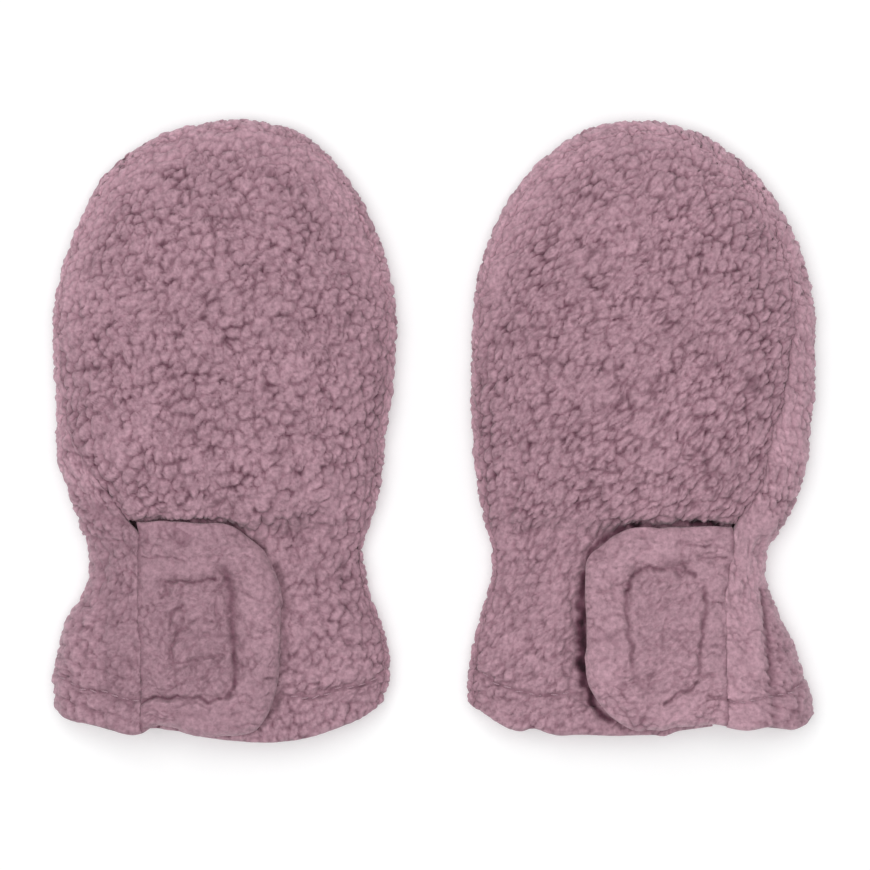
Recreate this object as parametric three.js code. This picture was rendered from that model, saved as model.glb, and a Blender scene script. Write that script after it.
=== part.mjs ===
// A pair of thumbless baby mittens in nubby wool fleece, lying side by side with their fronts up.
// Each mitten is a front panel, a back panel that wraps round one side of the wrist onto the front,
// and a wide rounded strap sewn to that wrapped edge, which closes the cuff over the front panel.
// Millimetres, +Z up, resting on Z = 0. X runs across the pair, Y from the hems to the fingertips,
// and the origin is the middle of the pair, on the surface that it lies on.
import * as THREE from "three";

// Cloth and seams.
const CLOTH = 2.6;
const HEM_CLOTH = 3.2;
const SEAM_CLOTH = 2.1;
const HEM_DEPTH = 9;
const HEM_ROUNDING = 0.6;
const HEM_ROUNDED = 1.5;
const SEAM_GAP = 0.4;
const SEAM_TAPER = 10;
const SEAM_LEAN = 3.4;
const SEAM_DIP = 0.7;
const SEAM_DIP_WIDTH = 2;
const STITCH_DIP = 0.7;
const STITCH_DIP_WIDTH = 1.4;

// The mitten's plan: a straight part from the hem, then half an ellipse for the fingertips.
const TIP_START = 88;
const TIP_LENGTH = 47;
const HEM_RISE = 8.6;
const HEM_RISE_POWER = 3.5;
const HEM_RISE_FADE = 30;

// The cross-section: flat underneath, rolled up at the sides, crowned on top.
const SIDE_HEIGHT = 5;
const FLAT_SHARE = 0.87;
const CROWN_POWER = 2.6;
const CROWN_ROOT = 1.9;

// The strap.
const STRAP_TOP = 46.6;
const STRAP_FOOT = 0.7;
const STRAP_CLEARANCE = 0.6;
const STRAP_THICKNESS = 3.4;
const STRAP_EDGE_THICKNESS = 2.2;
const STRAP_RIM = 8;
const STRAP_RIM_PUFF = 0.5;
const STRAP_CORNER_STEPS = 5;
const SLIT_OVERLAP = 3;
const SLIT_FULL = 46.5;
const SLIT_END = 53;

const PAIR_SPACING = 91.7;

// One row for each section, in millimetres: its distance along the mitten from the lowest point of
// the hem, the reach from the mitten's middle line to the edge on the strap's side and on the far
// side, the reach to the seam on the strap's side, how far in from the edge the far seam lies, the
// height of the front's crown, and how far the back's edge stands above the front at the seam.
const SECTION_COLUMNS = ["along", "strapEdge", "farEdge", "seam", "farInset", "crown", "lift"];
const LEFT_SECTIONS = table(SECTION_COLUMNS, [
  [0, 37.4, 34.4, 19.0, 1.0, 14.6, 3.7],
  [9, 37.5, 34.8, 19.0, 1.0, 14.6, 3.7],
  [13, 37.9, 36.0, 19.0, 1.0, 14.4, 3.7],
  [20, 36.3, 35.7, 19.0, 1.0, 13.9, 3.7],
  [26, 34.6, 34.2, 19.0, 1.0, 13.5, 3.7],
  [31, 31.4, 32.0, 19.0, 1.0, 13.2, 3.7],
  [36, 29.8, 30.8, 19.0, 1.0, 13.0, 3.7],
  [42, 30.0, 30.3, 19.0, 1.0, 13.0, 3.7],
  [46.6, 31.4, 31.2, 19.2, 1.2, 13.4, 3.6],
  [50, 32.6, 32.4, 22.4, 1.2, 16.8, -0.3],
  [55, 34.6, 33.8, 26.6, 1.2, 18.6, -0.6],
  [61, 36.4, 34.6, 31.0, 1.2, 19.2, -0.6],
  [68, 36.8, 35.4, 33.9, 1.2, 19.4, -0.4],
  [76, 36.9, 36.8, 34.8, 1.4, 19.4, -0.2],
  [88, 37.6, 37.6, 36.2, 1.8, 19.2, 0],
]);
const RIGHT_SECTIONS = table(SECTION_COLUMNS, [
  [0, 37.2, 38.4, 18.6, 1.0, 14.6, 3.7],
  [9, 37.0, 38.4, 18.6, 1.0, 14.6, 3.7],
  [13, 35.5, 38.4, 18.4, 1.0, 14.4, 3.7],
  [20, 33.2, 37.3, 18.4, 1.0, 13.9, 3.7],
  [26, 30.3, 36.0, 18.6, 1.0, 13.5, 3.7],
  [31, 28.2, 34.6, 19.0, 1.0, 13.2, 3.7],
  [36, 26.9, 33.2, 19.4, 1.0, 13.0, 3.7],
  [42, 27.5, 33.2, 19.8, 1.0, 13.0, 3.7],
  [46.6, 29.8, 34.2, 20.2, 1.0, 13.4, 3.6],
  [50, 32.0, 35.0, 21.8, 1.0, 16.8, -0.3],
  [55, 34.5, 36.2, 25.6, 1.0, 18.6, -0.8],
  [61, 36.0, 37.0, 27.0, 1.0, 19.2, -1.0],
  [68, 36.5, 37.5, 28.2, 1.0, 19.4, -0.9],
  [76, 37.4, 37.7, 30.4, 1.0, 19.4, -0.6],
  [88, 37.5, 37.5, 32.5, 1.0, 19.2, -0.3],
]);

// One row for each soft fold in the upper side: the middle of the trough from the mitten's middle
// line towards the strap's side and along the mitten, its direction, and its own sizes.
const FOLD_COLUMNS = ["across", "along", "degrees", "length", "width", "depth"];
const LEFT_FOLDS = table(FOLD_COLUMNS, [
  [-17.8, 47.5, 157, 18, 2.0, 1.1],
  [-15.8, 41.0, 122, 13, 2.0, 0.8],
  [-27.5, 38.0, 95, 12, 2.4, 1.0],
  [26.4, 22.0, 92, 26, 2.0, 0.9],
  [9.0, 66.0, 70, 16, 4.0, 0.8],
  [25.0, 41.5, 115, 12, 2.2, 0.9],
  [1.5, 51.5, 85, 10, 2.2, 1.2],
]);
const RIGHT_FOLDS = table(FOLD_COLUMNS, [
  [27.4, 20.0, 94, 28, 1.9, 1.5],
  [-29.0, 54.0, 83, 22, 2.2, 1.0],
  [-22.5, 49.0, 78, 16, 2.2, 1.0],
  [-14.0, 52.0, 60, 16, 2.4, 1.0],
  [-26.0, 34.0, 96, 14, 2.4, 0.8],
  [-1.5, 51.5, 100, 10, 2.2, 1.2],
  [10.5, 51.5, 84, 9, 2.0, 1.2],
]);

// One row for each stretch of the straight part of the panels, with the number of rows of quads.
const ROW_STRETCHES = table(["from", "to", "count"], [
  [0, HEM_ROUNDED, 1],
  [HEM_ROUNDED, HEM_DEPTH, 2],
  [HEM_DEPTH, 33, 5],
  [33, 42, 2],
  [42, 58, 6],
  [58, TIP_START, 5],
]);
const TIP_ROWS = 8;
const FRONT_COLUMNS = 20;
const BACK_COLUMNS = 22;
const BACK_FLAT_COLUMNS_SHARE = 0.36;

// Turns rows of numbers into rows with named columns.
function table(columns, rows) {
  return rows.map((row) => Object.fromEntries(columns.map((name, k) => [name, row[k]])));
}

function smooth(t) {
  const c = Math.min(1, Math.max(0, t));
  return c * c * (3 - 2 * c);
}

// A dip that is deepest at 0 and fades out over about twice its width.
function dip(distance, width) {
  return Math.exp(-((distance / width) ** 2));
}

// A smooth curve through one column of a table, held level past its ends.
function curveThrough(rows, name) {
  const at = rows.map((row) => row.along);
  const value = rows.map((row) => row[name]);
  const last = rows.length - 1;
  const slope = value.map((_, k) => {
    const [before, after] = [Math.max(0, k - 1), Math.min(last, k + 1)];
    return (value[after] - value[before]) / (at[after] - at[before]);
  });
  return (along) => {
    if (along <= at[0]) return value[0];
    if (along >= at[last]) return value[last];
    const k = at.findIndex((place) => place > along) - 1;
    const span = at[k + 1] - at[k];
    const t = (along - at[k]) / span;
    const bend = t * t * (3 - 2 * t);
    return (
      value[k] * (1 - bend) +
      value[k + 1] * bend +
      span * t * (1 - t) * (slope[k] * (1 - t) - slope[k + 1] * t)
    );
  };
}

// Carries the unit square's upper half onto a half disc, and leaves its lower half as it is.
function halfDisc(p, q) {
  if (q <= 0) return [p, q];
  return [p * Math.sqrt(1 - (q * q) / 2), q * Math.sqrt(1 - (p * p) / 2)];
}

// The panels' rows as places from -1 at the hem, through 0 where the tip starts, to 1 at the tip.
function panelRows() {
  const rows = [-1];
  for (const { from, to, count } of ROW_STRETCHES)
    for (let k = 1; k <= count; k++) rows.push((from + ((to - from) * k) / count) / TIP_START - 1);
  for (let k = 1; k <= TIP_ROWS; k++) rows.push(k / TIP_ROWS);
  return rows;
}

function evenSteps(count) {
  return Array.from({ length: count + 1 }, (_, k) => (2 * k) / count - 1);
}

// The quads between the rows of a grid. Each is split so that no sliver falls in a tip corner.
function gridFaces(rows, columns, at) {
  const faces = [];
  for (let r = 0; r < rows - 1; r++)
    for (let c = 0; c < columns - 1; c++) {
      const [a, b, d, e] = [at(r, c), at(r, c + 1), at(r + 1, c + 1), at(r + 1, c)];
      if (c < (columns - 1) / 2) faces.push(a, b, e, b, d, e);
      else faces.push(a, b, d, a, d, e);
    }
  return faces;
}

// The normals of a grid of points, on the side from which its columns and rows turn anticlockwise.
function gridNormals(grid) {
  const geometry = new THREE.BufferGeometry().setFromPoints(grid.flat());
  geometry.setIndex(gridFaces(grid.length, grid[0].length, (r, c) => r * grid[0].length + c));
  geometry.computeVertexNormals();
  const normal = geometry.getAttribute("normal");
  return grid.map((row, r) =>
    row.map((_, c) => new THREE.Vector3().fromBufferAttribute(normal, r * row.length + c)),
  );
}

// A closed wall between two grids of points of the same size. With mirrored, X is turned over.
function wallBetween(upper, lower, mirrored) {
  const [rows, columns] = [upper.length, upper[0].length];
  const above = (r, c) => r * columns + c;
  const below = (r, c) => (rows + r) * columns + c;
  const faces = gridFaces(rows, columns, above);
  const under = gridFaces(rows, columns, below);
  for (let k = 0; k < under.length; k += 3) faces.push(under[k], under[k + 2], under[k + 1]);
  const side = (r0, c0, r1, c1) =>
    faces.push(
      ...[below(r0, c0), below(r1, c1), above(r1, c1)],
      ...[below(r0, c0), above(r1, c1), above(r0, c0)],
    );
  for (let c = 0; c < columns - 1; c++) {
    side(0, c, 0, c + 1);
    side(rows - 1, c + 1, rows - 1, c);
  }
  for (let r = 0; r < rows - 1; r++) {
    side(r, columns - 1, r + 1, columns - 1);
    side(r + 1, 0, r, 0);
  }
  const geometry = new THREE.BufferGeometry().setFromPoints([...upper.flat(), ...lower.flat()]);
  if (mirrored) {
    geometry.scale(-1, 1, 1);
    for (let k = 0; k < faces.length; k += 3)
      [faces[k + 1], faces[k + 2]] = [faces[k + 2], faces[k + 1]];
  }
  geometry.setIndex(faces);
  geometry.computeVertexNormals();
  return geometry;
}

// One mitten in its own frame: X from its middle line towards the strap's side, Y along it.
class Mitten {
  constructor({ sections, ...sizes }) {
    for (const name of SECTION_COLUMNS.slice(1)) this[name] = curveThrough(sections, name);
    Object.assign(this, sizes);
  }

  edge(across, along) {
    return across > 0 ? this.strapEdge(along) : this.farEdge(along);
  }

  // Where a place of the unit plan lies: a is across and b along, and the outline is at radius 1.
  plan(a, b) {
    if (b > 0) {
      const lean = this.tipLean * b ** 3;
      return [a * this.edge(a, TIP_START) + lean, TIP_START + TIP_LENGTH * b];
    }
    const straight = TIP_START * (1 + b);
    const rise = HEM_RISE * Math.abs(a) ** HEM_RISE_POWER;
    const along = straight + rise * (1 - smooth(straight / HEM_RISE_FADE));
    return [a * this.edge(a, along), along];
  }

  // How far out a plan point is, from 0 on the middle line to 1 on the outline.
  reach(across, along) {
    if (along <= TIP_START) return Math.min(1, Math.abs(across) / this.edge(across, along));
    const b = (along - TIP_START) / TIP_LENGTH;
    const a = (across - this.tipLean * b ** 3) / this.edge(across, TIP_START);
    return Math.min(1, Math.hypot(a, b));
  }

  // The height of a crown's cross-section, for a place that far out.
  crownHeight(crown, reach) {
    const fall = (1 - reach ** CROWN_POWER) ** (1 / CROWN_ROOT);
    return SIDE_HEIGHT + (crown - SIDE_HEIGHT) * fall;
  }

  frontHeight(across, along) {
    return this.crownHeight(this.crown(along), this.reach(across, along));
  }

  // The back's upper edge: the front's own height on the far side, and lifted on the strap's side.
  backHeight(across, along) {
    if (across <= 0) return this.frontHeight(across, along);
    const seamReach = this.seam(along) / this.strapEdge(along);
    const atSeam = this.crownHeight(this.crown(along), seamReach) + this.lift(along);
    const fall = (1 - seamReach ** CROWN_POWER) ** (1 / CROWN_ROOT);
    const crown = SIDE_HEIGHT + (atSeam - SIDE_HEIGHT) / fall;
    return this.crownHeight(crown, this.reach(across, along));
  }

  // How deep the folds and the hem's stitching press into the upper side.
  pressedIn(across, along, straight) {
    let depth = STITCH_DIP * dip(straight - HEM_DEPTH, STITCH_DIP_WIDTH);
    for (const fold of this.folds) {
      const turn = THREE.MathUtils.degToRad(fold.degrees);
      const [dx, dy] = [across - fold.across, along - fold.along];
      const lengthwise = dx * Math.cos(turn) + dy * Math.sin(turn);
      const sideways = dy * Math.cos(turn) - dx * Math.sin(turn);
      depth += fold.depth * dip(sideways, fold.width) * dip(lengthwise, fold.length / 2);
    }
    return depth;
  }

  // Where the seam lies between the middle, 0, and the outline, 1, in a direction of the unit plan.
  seamShare(a, b) {
    if (b <= 0) {
      const along = this.plan(a, b)[1];
      if (a > 0) return this.seam(along) / this.strapEdge(along);
      return 1 - this.farInset(along) / this.farEdge(along);
    }
    const flat = Math.abs(a) / Math.hypot(a, b);
    const half = this.edge(a, TIP_START);
    const sideInset = a > 0 ? half - this.seam(TIP_START) : this.farInset(TIP_START);
    const inset = this.tipInset + (sideInset - this.tipInset) * flat ** 8;
    return 1 - inset / (half + (TIP_LENGTH - half) * (1 - flat * flat));
  }

  // How far short of the seam the front's own edge stops: more along the slit under the strap.
  frontShortfall(a, b) {
    if (a <= 0 || b > 0) return SEAM_GAP;
    const along = this.plan(a, b)[1];
    return SEAM_GAP + SLIT_OVERLAP * (1 - smooth((along - SLIT_FULL) / (SLIT_END - SLIT_FULL)));
  }

  // The way from a panel's outer face to its inner one at the seam: nearly level at the sides, but
  // straight down beside the strap, so that edges that meet stay parallel.
  seamInward(across, along) {
    const step = 0.5;
    const inside = across - Math.sign(across) * step;
    const height = this.frontHeight(inside, along);
    const slopeAcross = (this.frontHeight(inside + step, along) - height) / step;
    const slopeAlong = (height - this.frontHeight(inside, along - step)) / step;
    const tilt = SEAM_LEAN * (across > 0 ? smooth((along - STRAP_TOP - 2) / 10) : 1);
    return new THREE.Vector3(tilt * slopeAcross, tilt * slopeAlong, -1).normalize();
  }

  hemRounding(straight) {
    return HEM_ROUNDING * Math.max(0, 1 - straight / HEM_ROUNDED) ** 2;
  }

  // The wall, thicker where the hem is turned up inside and pinched towards the seam.
  wall(p, q) {
    const [a, b] = halfDisc(p, q);
    const turned = 1 - smooth((TIP_START * (1 + b) - HEM_DEPTH + 1) / 2);
    const full = CLOTH + (HEM_CLOTH - CLOTH) * turned;
    const fromSeam = (1 - Math.max(Math.abs(p), q)) * this.edge(a, TIP_START);
    return SEAM_CLOTH + (full - SEAM_CLOTH) * smooth(fromSeam / SEAM_TAPER);
  }

  frontPoint(p, q) {
    const [a, b] = halfDisc(p, q);
    const straight = TIP_START * (1 + b);
    const half = this.edge(a, TIP_START);
    const share = this.seamShare(a, b) - this.frontShortfall(a, b) / half;
    const [x, y] = this.plan(a * share, b > 0 ? b * share : b);
    const out = b > 0 ? Math.hypot(a, b) : Math.abs(a);
    const pressed = this.pressedIn(x, y, straight) + this.hemRounding(straight);
    const dipped = SEAM_DIP * dip((1 - out) * half, SEAM_DIP_WIDTH);
    return new THREE.Vector3(x, y, this.frontHeight(x, y) - pressed - dipped);
  }

  backPoint(p, q) {
    const [a, b] = halfDisc(p, q);
    const straight = TIP_START * (1 + b);
    const out = b > 0 ? Math.hypot(a, b) : Math.abs(a);
    const at = (radius) => {
      const scale = out > 0 ? radius / out : 0;
      return this.plan(a * scale, b > 0 ? b * scale : b);
    };
    const rounding = this.hemRounding(straight);
    if (out <= BACK_FLAT_COLUMNS_SHARE) {
      const [x, y] = at((FLAT_SHARE * out) / BACK_FLAT_COLUMNS_SHARE);
      return new THREE.Vector3(x, y, rounding);
    }
    const climb = (out - BACK_FLAT_COLUMNS_SHARE) / (1 - BACK_FLAT_COLUMNS_SHARE);
    if (climb <= 0.5) {
      const turn = climb * Math.PI;
      const [x, y] = at(FLAT_SHARE + (1 - FLAT_SHARE) * Math.sin(turn));
      return new THREE.Vector3(x, y, SIDE_HEIGHT * (1 - Math.cos(turn)) + rounding);
    }
    const over = (2 * climb - 1) ** 1.5;
    const [x, y] = at(1 - (1 - this.seamShare(a, b)) * over);
    const dipped = SEAM_DIP * dip((1 - over) * 6, SEAM_DIP_WIDTH);
    const pressed = (this.pressedIn(x, y, straight) + dipped + rounding) * over;
    return new THREE.Vector3(x, y, this.backHeight(x, y) - pressed);
  }

  // A panel's wall: its outer points, and the same points moved in by the cloth's thickness.
  panel(point, columns, outerIsAbove) {
    const rows = panelRows();
    const outer = rows.map((q) => columns.map((p) => point(p, q)));
    const normals = gridNormals(outer);
    const last = columns.length - 1;
    const inner = outer.map((row, r) =>
      row.map((place, c) => {
        const wall = this.wall(columns[c], rows[r]);
        if (c === 0 || c === last || r === rows.length - 1)
          return place.clone().addScaledVector(this.seamInward(place.x, place.y), wall);
        return place.clone().addScaledVector(normals[r][c], outerIsAbove ? -wall : wall);
      }),
    );
    const [upper, lower] = outerIsAbove ? [outer, inner] : [inner, outer];
    return wallBetween(upper, lower, this.mirrored);
  }

  front() {
    return this.panel((p, q) => this.frontPoint(p, q), evenSteps(FRONT_COLUMNS), true);
  }

  back() {
    return this.panel((p, q) => this.backPoint(p, q), evenSteps(BACK_COLUMNS), false);
  }

  // How far an oval corner of the strap has drawn its edge in, at a distance from the seam.
  cornerDrawIn(length, { lengthwise, crosswise }) {
    const into = Math.max(0, length - (this.strapLength - lengthwise)) / lengthwise;
    return crosswise * (1 - Math.sqrt(1 - Math.min(1, into) ** 2));
  }

  // The strap lies on the front from the wrapped seam to its own end with its two oval corners.
  strap() {
    const corner = Math.max(this.upperCorner.lengthwise, this.lowerCorner.lengthwise);
    const straightLength = this.strapLength - corner;
    const lengths = [0, 3, STRAP_RIM, 14, straightLength];
    for (let k = 1; k <= STRAP_CORNER_STEPS; k++) {
      const turn = (k * Math.PI) / 2 / STRAP_CORNER_STEPS;
      lengths.push(straightLength + corner * Math.sin(turn));
    }
    const shares = [0, 0.03, 0.09, 0.175, 0.3, 0.43, 0.57, 0.7, 0.825, 0.91, 0.97, 1];
    const under = [];
    const over = [];
    for (const length of lengths) {
      const foot = STRAP_FOOT + this.cornerDrawIn(length, this.lowerCorner);
      const top = STRAP_TOP - this.cornerDrawIn(length, this.upperCorner);
      const placed = shares.map((share) => {
        const y = foot + (top - foot) * share;
        const x = this.seam(y) - SEAM_GAP - length;
        const inside = Math.min(y - foot, top - y, this.strapLength - length);
        return { x, y, inside, z: this.frontHeight(x, y) + STRAP_CLEARANCE };
      });
      under.push(placed.map(({ x, y, z }) => new THREE.Vector3(x, y, z)));
      over.push(
        placed.map(({ x, y, z, inside }) => new THREE.Vector3(x, y, z + this.strapThickness(inside))),
      );
    }
    return wallBetween(over, under, this.mirrored);
  }

  strapThickness(inside) {
    const edge = (STRAP_THICKNESS - STRAP_EDGE_THICKNESS) * dip(inside, 1);
    const puff = STRAP_RIM_PUFF * Math.sin(Math.PI * Math.min(1, inside / STRAP_RIM)) ** 2;
    return STRAP_THICKNESS - edge + puff;
  }
}

// Dusty mauve wool, a little lighter on the smooth felted strap.
const fleece = new THREE.MeshStandardMaterial({ color: 0xa58390, roughness: 0.95, metalness: 0 });
const felted = new THREE.MeshStandardMaterial({ color: 0xa98894, roughness: 0.92, metalness: 0 });

const pieceOf = (name, geometry, material) => {
  const mesh = new THREE.Mesh(geometry, material);
  mesh.name = name;
  return mesh;
};

const MITTENS = {
  left: new Mitten({
    sections: LEFT_SECTIONS,
    folds: LEFT_FOLDS,
    tipLean: -3,
    tipInset: 1.6,
    strapLength: 31,
    upperCorner: { lengthwise: 15, crosswise: 15 },
    lowerCorner: { lengthwise: 11, crosswise: 17 },
    mirrored: true,
  }),
  right: new Mitten({
    sections: RIGHT_SECTIONS,
    folds: RIGHT_FOLDS,
    tipLean: -1.2,
    tipInset: 2.6,
    strapLength: 32.4,
    upperCorner: { lengthwise: 11, crosswise: 7 },
    lowerCorner: { lengthwise: 13, crosswise: 17 },
    mirrored: false,
  }),
};

const pair = new THREE.Group();
for (const [side, mitten] of Object.entries(MITTENS)) {
  const group = new THREE.Group();
  group.add(pieceOf(side + "_front", mitten.front(), fleece));
  group.add(pieceOf(side + "_back", mitten.back(), fleece));
  group.add(pieceOf(side + "_strap", mitten.strap(), felted));
  group.position.x = (mitten.mirrored ? -PAIR_SPACING : PAIR_SPACING) / 2;
  pair.add(group);
}

// The pair stands with the middle of its outline at the origin.
const outline = new THREE.Box3().setFromObject(pair);
const middle = outline.getCenter(new THREE.Vector3());
for (const group of pair.children) group.position.sub(new THREE.Vector3(middle.x, middle.y, 0));

export default pair;
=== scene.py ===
"""A pair of thumbless baby mittens in nubby wool fleece, laid flat on a plain white surface.

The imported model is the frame. Each mitten's front panel, back panel and strap are modelled again here
on the same formulas as its solids, at a scale where the nubs, crevices, rolled edges and stitches show.
Lengths are in millimetres in the tables and formulas, and become metres when a mesh is made.
"""

import logging
import math
from collections.abc import Callable
from dataclasses import dataclass, field
from enum import Enum, IntEnum
from typing import NamedTuple

import bmesh
import bpy
import numpy as np
from mathutils import Matrix, Vector
from numpy.typing import NDArray


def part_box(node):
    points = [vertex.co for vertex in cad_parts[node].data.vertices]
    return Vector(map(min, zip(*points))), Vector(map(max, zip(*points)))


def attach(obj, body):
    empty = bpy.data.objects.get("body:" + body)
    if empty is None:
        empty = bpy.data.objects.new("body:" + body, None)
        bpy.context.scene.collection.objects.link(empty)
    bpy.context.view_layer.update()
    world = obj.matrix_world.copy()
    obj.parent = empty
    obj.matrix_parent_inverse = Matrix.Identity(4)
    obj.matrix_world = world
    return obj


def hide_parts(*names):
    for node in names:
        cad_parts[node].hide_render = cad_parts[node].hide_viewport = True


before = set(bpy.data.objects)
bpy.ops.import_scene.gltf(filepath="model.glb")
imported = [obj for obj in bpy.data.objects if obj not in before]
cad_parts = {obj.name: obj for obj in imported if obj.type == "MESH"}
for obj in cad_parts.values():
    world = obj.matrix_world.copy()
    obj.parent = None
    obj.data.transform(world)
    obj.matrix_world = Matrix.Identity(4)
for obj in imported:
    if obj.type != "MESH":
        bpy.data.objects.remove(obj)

Array = NDArray[np.float64]
Surface = Callable[[Array, Array], Array]
Colour = tuple[float, float, float]
Socket = bpy.types.NodeSocket

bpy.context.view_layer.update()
MM = 0.001
TINY = 1e-9
FAR_OFF = 9e9
MIDDLE_SHADE = 0.5

LOG = logging.getLogger("mittens")


class Side(Enum):
    """Which mitten, with the way its strap side points along X."""

    LEFT = -1
    RIGHT = 1


class Draw(IntEnum):
    """What each random pattern adds to its mitten's seed, so that no two patterns are alike."""

    WANDER = 0
    NUB = 30
    OPEN_GAP = 31
    UNEVEN = 32
    LUMP = 33
    BROAD = 34
    WRINKLE = 35
    FINE = 36
    PIT = 37
    FELT_LUMP = 38
    FELT_LUMP_HERE = 39
    FELT_CREASE = 40
    STRAP_WOBBLE = 41
    STRAP_FINE_WOBBLE = 42
    STRAP_ASIDE = 43
    FELT_CREASE_HERE = 44
    FURROW = 45
    FURROW_HERE = 46
    CREASE_ACROSS = 51
    CREASE_ALONG = 52
    CREASE_UNEVEN = 53
    CREASE_FINE_ACROSS = 54
    CREASE_FINE_ALONG = 55
    HEM_DRIFT = 61
    HEM_FINE_DRIFT = 62
    HEM_UNEVEN = 63
    STRAP_SEAM = 64
    SUNK_SEAM = 65
    STITCH = 71


class Section(NamedTuple):
    """One section across a mitten: where it lies along it, its reaches, crown height and lip lift."""

    along: float
    strap_edge: float
    far_edge: float
    seam: float
    far_inset: float
    crown: float
    lift: float


class Fold(NamedTuple):
    """A soft trough in the upper side: its middle, direction in degrees, length, width and depth."""

    across: float
    along: float
    degrees: float
    length: float
    width: float
    depth: float


class Corner(NamedTuple):
    """An oval corner of the strap's free end."""

    lengthwise: float
    crosswise: float


class Crease(NamedTuple):
    """A line pressed into the cloth: its points, its width and depth, and how much painted shade it gets.
    """

    points: tuple[tuple[float, float], ...]
    width: float
    depth: float
    dark: float


LEFT_SECTIONS = (
    Section(0, 37.4, 34.4, 17.8, 1.0, 14.6, 3.7),
    Section(9, 37.5, 34.8, 17.6, 1.0, 14.6, 3.7),
    Section(13, 37.9, 36.0, 17.6, 1.0, 14.4, 3.7),
    Section(20, 36.3, 35.7, 17.7, 1.0, 13.9, 3.7),
    Section(26, 34.6, 34.2, 18.2, 1.0, 13.5, 3.7),
    Section(31, 31.4, 32.0, 18.4, 1.0, 13.2, 3.7),
    Section(36, 29.8, 30.8, 18.4, 1.0, 13.0, 3.7),
    Section(42, 30.0, 30.3, 18.4, 1.0, 13.0, 3.7),
    Section(45.2, 31.4, 31.2, 18.6, 1.2, 13.4, 3.6),
    Section(48.6, 32.6, 32.4, 21.8, 1.2, 16.8, -0.3),
    Section(55, 34.6, 33.8, 26.6, 1.2, 18.6, -0.6),
    Section(61, 36.4, 34.6, 31.0, 1.2, 19.2, -0.6),
    Section(68, 36.8, 35.4, 33.9, 1.2, 19.4, -0.4),
    Section(76, 36.9, 36.8, 34.8, 1.4, 19.4, -0.2),
    Section(88, 37.6, 37.6, 36.2, 1.8, 19.2, 0.0),
)
RIGHT_SECTIONS = (
    Section(0, 37.2, 38.4, 18.2, 1.0, 14.6, 3.7),
    Section(9, 37.0, 38.4, 17.5, 1.0, 14.6, 3.7),
    Section(13, 35.5, 38.4, 17.3, 1.0, 14.4, 3.7),
    Section(20, 33.2, 37.3, 17.5, 1.0, 13.9, 3.7),
    Section(26, 30.3, 36.0, 17.4, 1.0, 13.5, 3.7),
    Section(31, 28.2, 34.6, 17.2, 1.0, 13.2, 3.7),
    Section(36, 26.9, 33.2, 18.2, 1.0, 13.0, 3.7),
    Section(42, 27.5, 33.2, 19.1, 1.0, 13.0, 3.7),
    Section(45.2, 29.8, 34.2, 19.4, 1.0, 13.4, 3.6),
    Section(48.6, 32.0, 35.0, 21, 1.0, 16.8, -0.3),
    Section(55, 34.5, 36.2, 25.6, 1.0, 18.6, -0.8),
    Section(61, 36.0, 37.0, 27.0, 1.0, 19.2, -1.0),
    Section(68, 36.5, 37.5, 28.2, 1.0, 19.4, -0.9),
    Section(76, 37.4, 37.7, 30.4, 1.0, 19.4, -0.6),
    Section(88, 37.5, 37.5, 32.5, 1.0, 19.2, -0.3),
)
LEFT_FOLDS = (
    Fold(-17.8, 47.5, 157, 18, 2.0, 1.1),
    Fold(-15.8, 41.0, 122, 13, 2.0, 0.8),
    Fold(-27.5, 38.0, 95, 12, 2.4, 1.0),
    Fold(26.4, 22.0, 92, 26, 2.0, 0.9),
    Fold(9.0, 66.0, 70, 16, 4.0, 0.8),
    Fold(25.0, 41.5, 115, 12, 2.2, 0.9),
    Fold(1.5, 51.5, 85, 10, 2.2, 1.2),
)
RIGHT_FOLDS = (
    Fold(-14.4, 24.0, 90, 32, 2.4, 1.0),
    Fold(27.4, 20.0, 94, 28, 1.9, 1.5),
    Fold(-29.0, 54.0, 83, 22, 2.2, 1.0),
    Fold(-22.5, 49.0, 78, 16, 2.2, 1.0),
    Fold(-14.0, 52.0, 60, 16, 2.4, 1.0),
    Fold(-26.0, 34.0, 96, 14, 2.4, 0.8),
    Fold(-1.5, 51.5, 100, 10, 2.2, 1.2),
    Fold(10.5, 51.5, 84, 9, 2.0, 1.2),
)
LEFT_HEM_WAVE = (
    (-37, -1.6), (-34.9, -1.3), (-29.6, -0.8), (-24.4, -0.2), (-16.5, -0.4), (-8.7, -0.4), (-0.8, 0.2),
    (4.4, 0.9), (7, 1.3), (9.6, 2.0), (12.3, 2.2), (14.9, 2.4), (17.5, 1.3), (20.1, 0.45), (25.3, 0.45),
    (30.6, -0.45), (33.2, -1.7), (37, -2.8),
)
RIGHT_HEM_WAVE = (
    (-38, -1.3), (-35, -0.9), (-29.8, -1.1), (-27.2, -0.6), (-24.6, 0.8), (-19.3, 0.4), (-14.1, 1.1),
    (-6.2, 1.1), (1.6, 1.3), (4.2, 1.1), (6.8, 2.0), (9.5, 2.4), (14.7, 2.8), (17.3, 2.6), (19.9, 1.7),
    (22.6, 0.9), (27.8, 0.0), (30.4, -1.5), (33, -3.4), (36, -4.4),
)
LEFT_TIP_SWELL = (
    (0, 0.0), (30, 0.004), (38, 0.022), (45, 0.040), (56, 0.036), (66, 0.026), (80, 0.008), (100, 0.008),
    (114, 0.014), (132, 0.0), (180, 0.0),
)
RIGHT_TIP_SWELL = ((0, 0.0), (60, 0.003), (90, 0.0), (112, 0.002), (180, 0.0))
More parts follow.
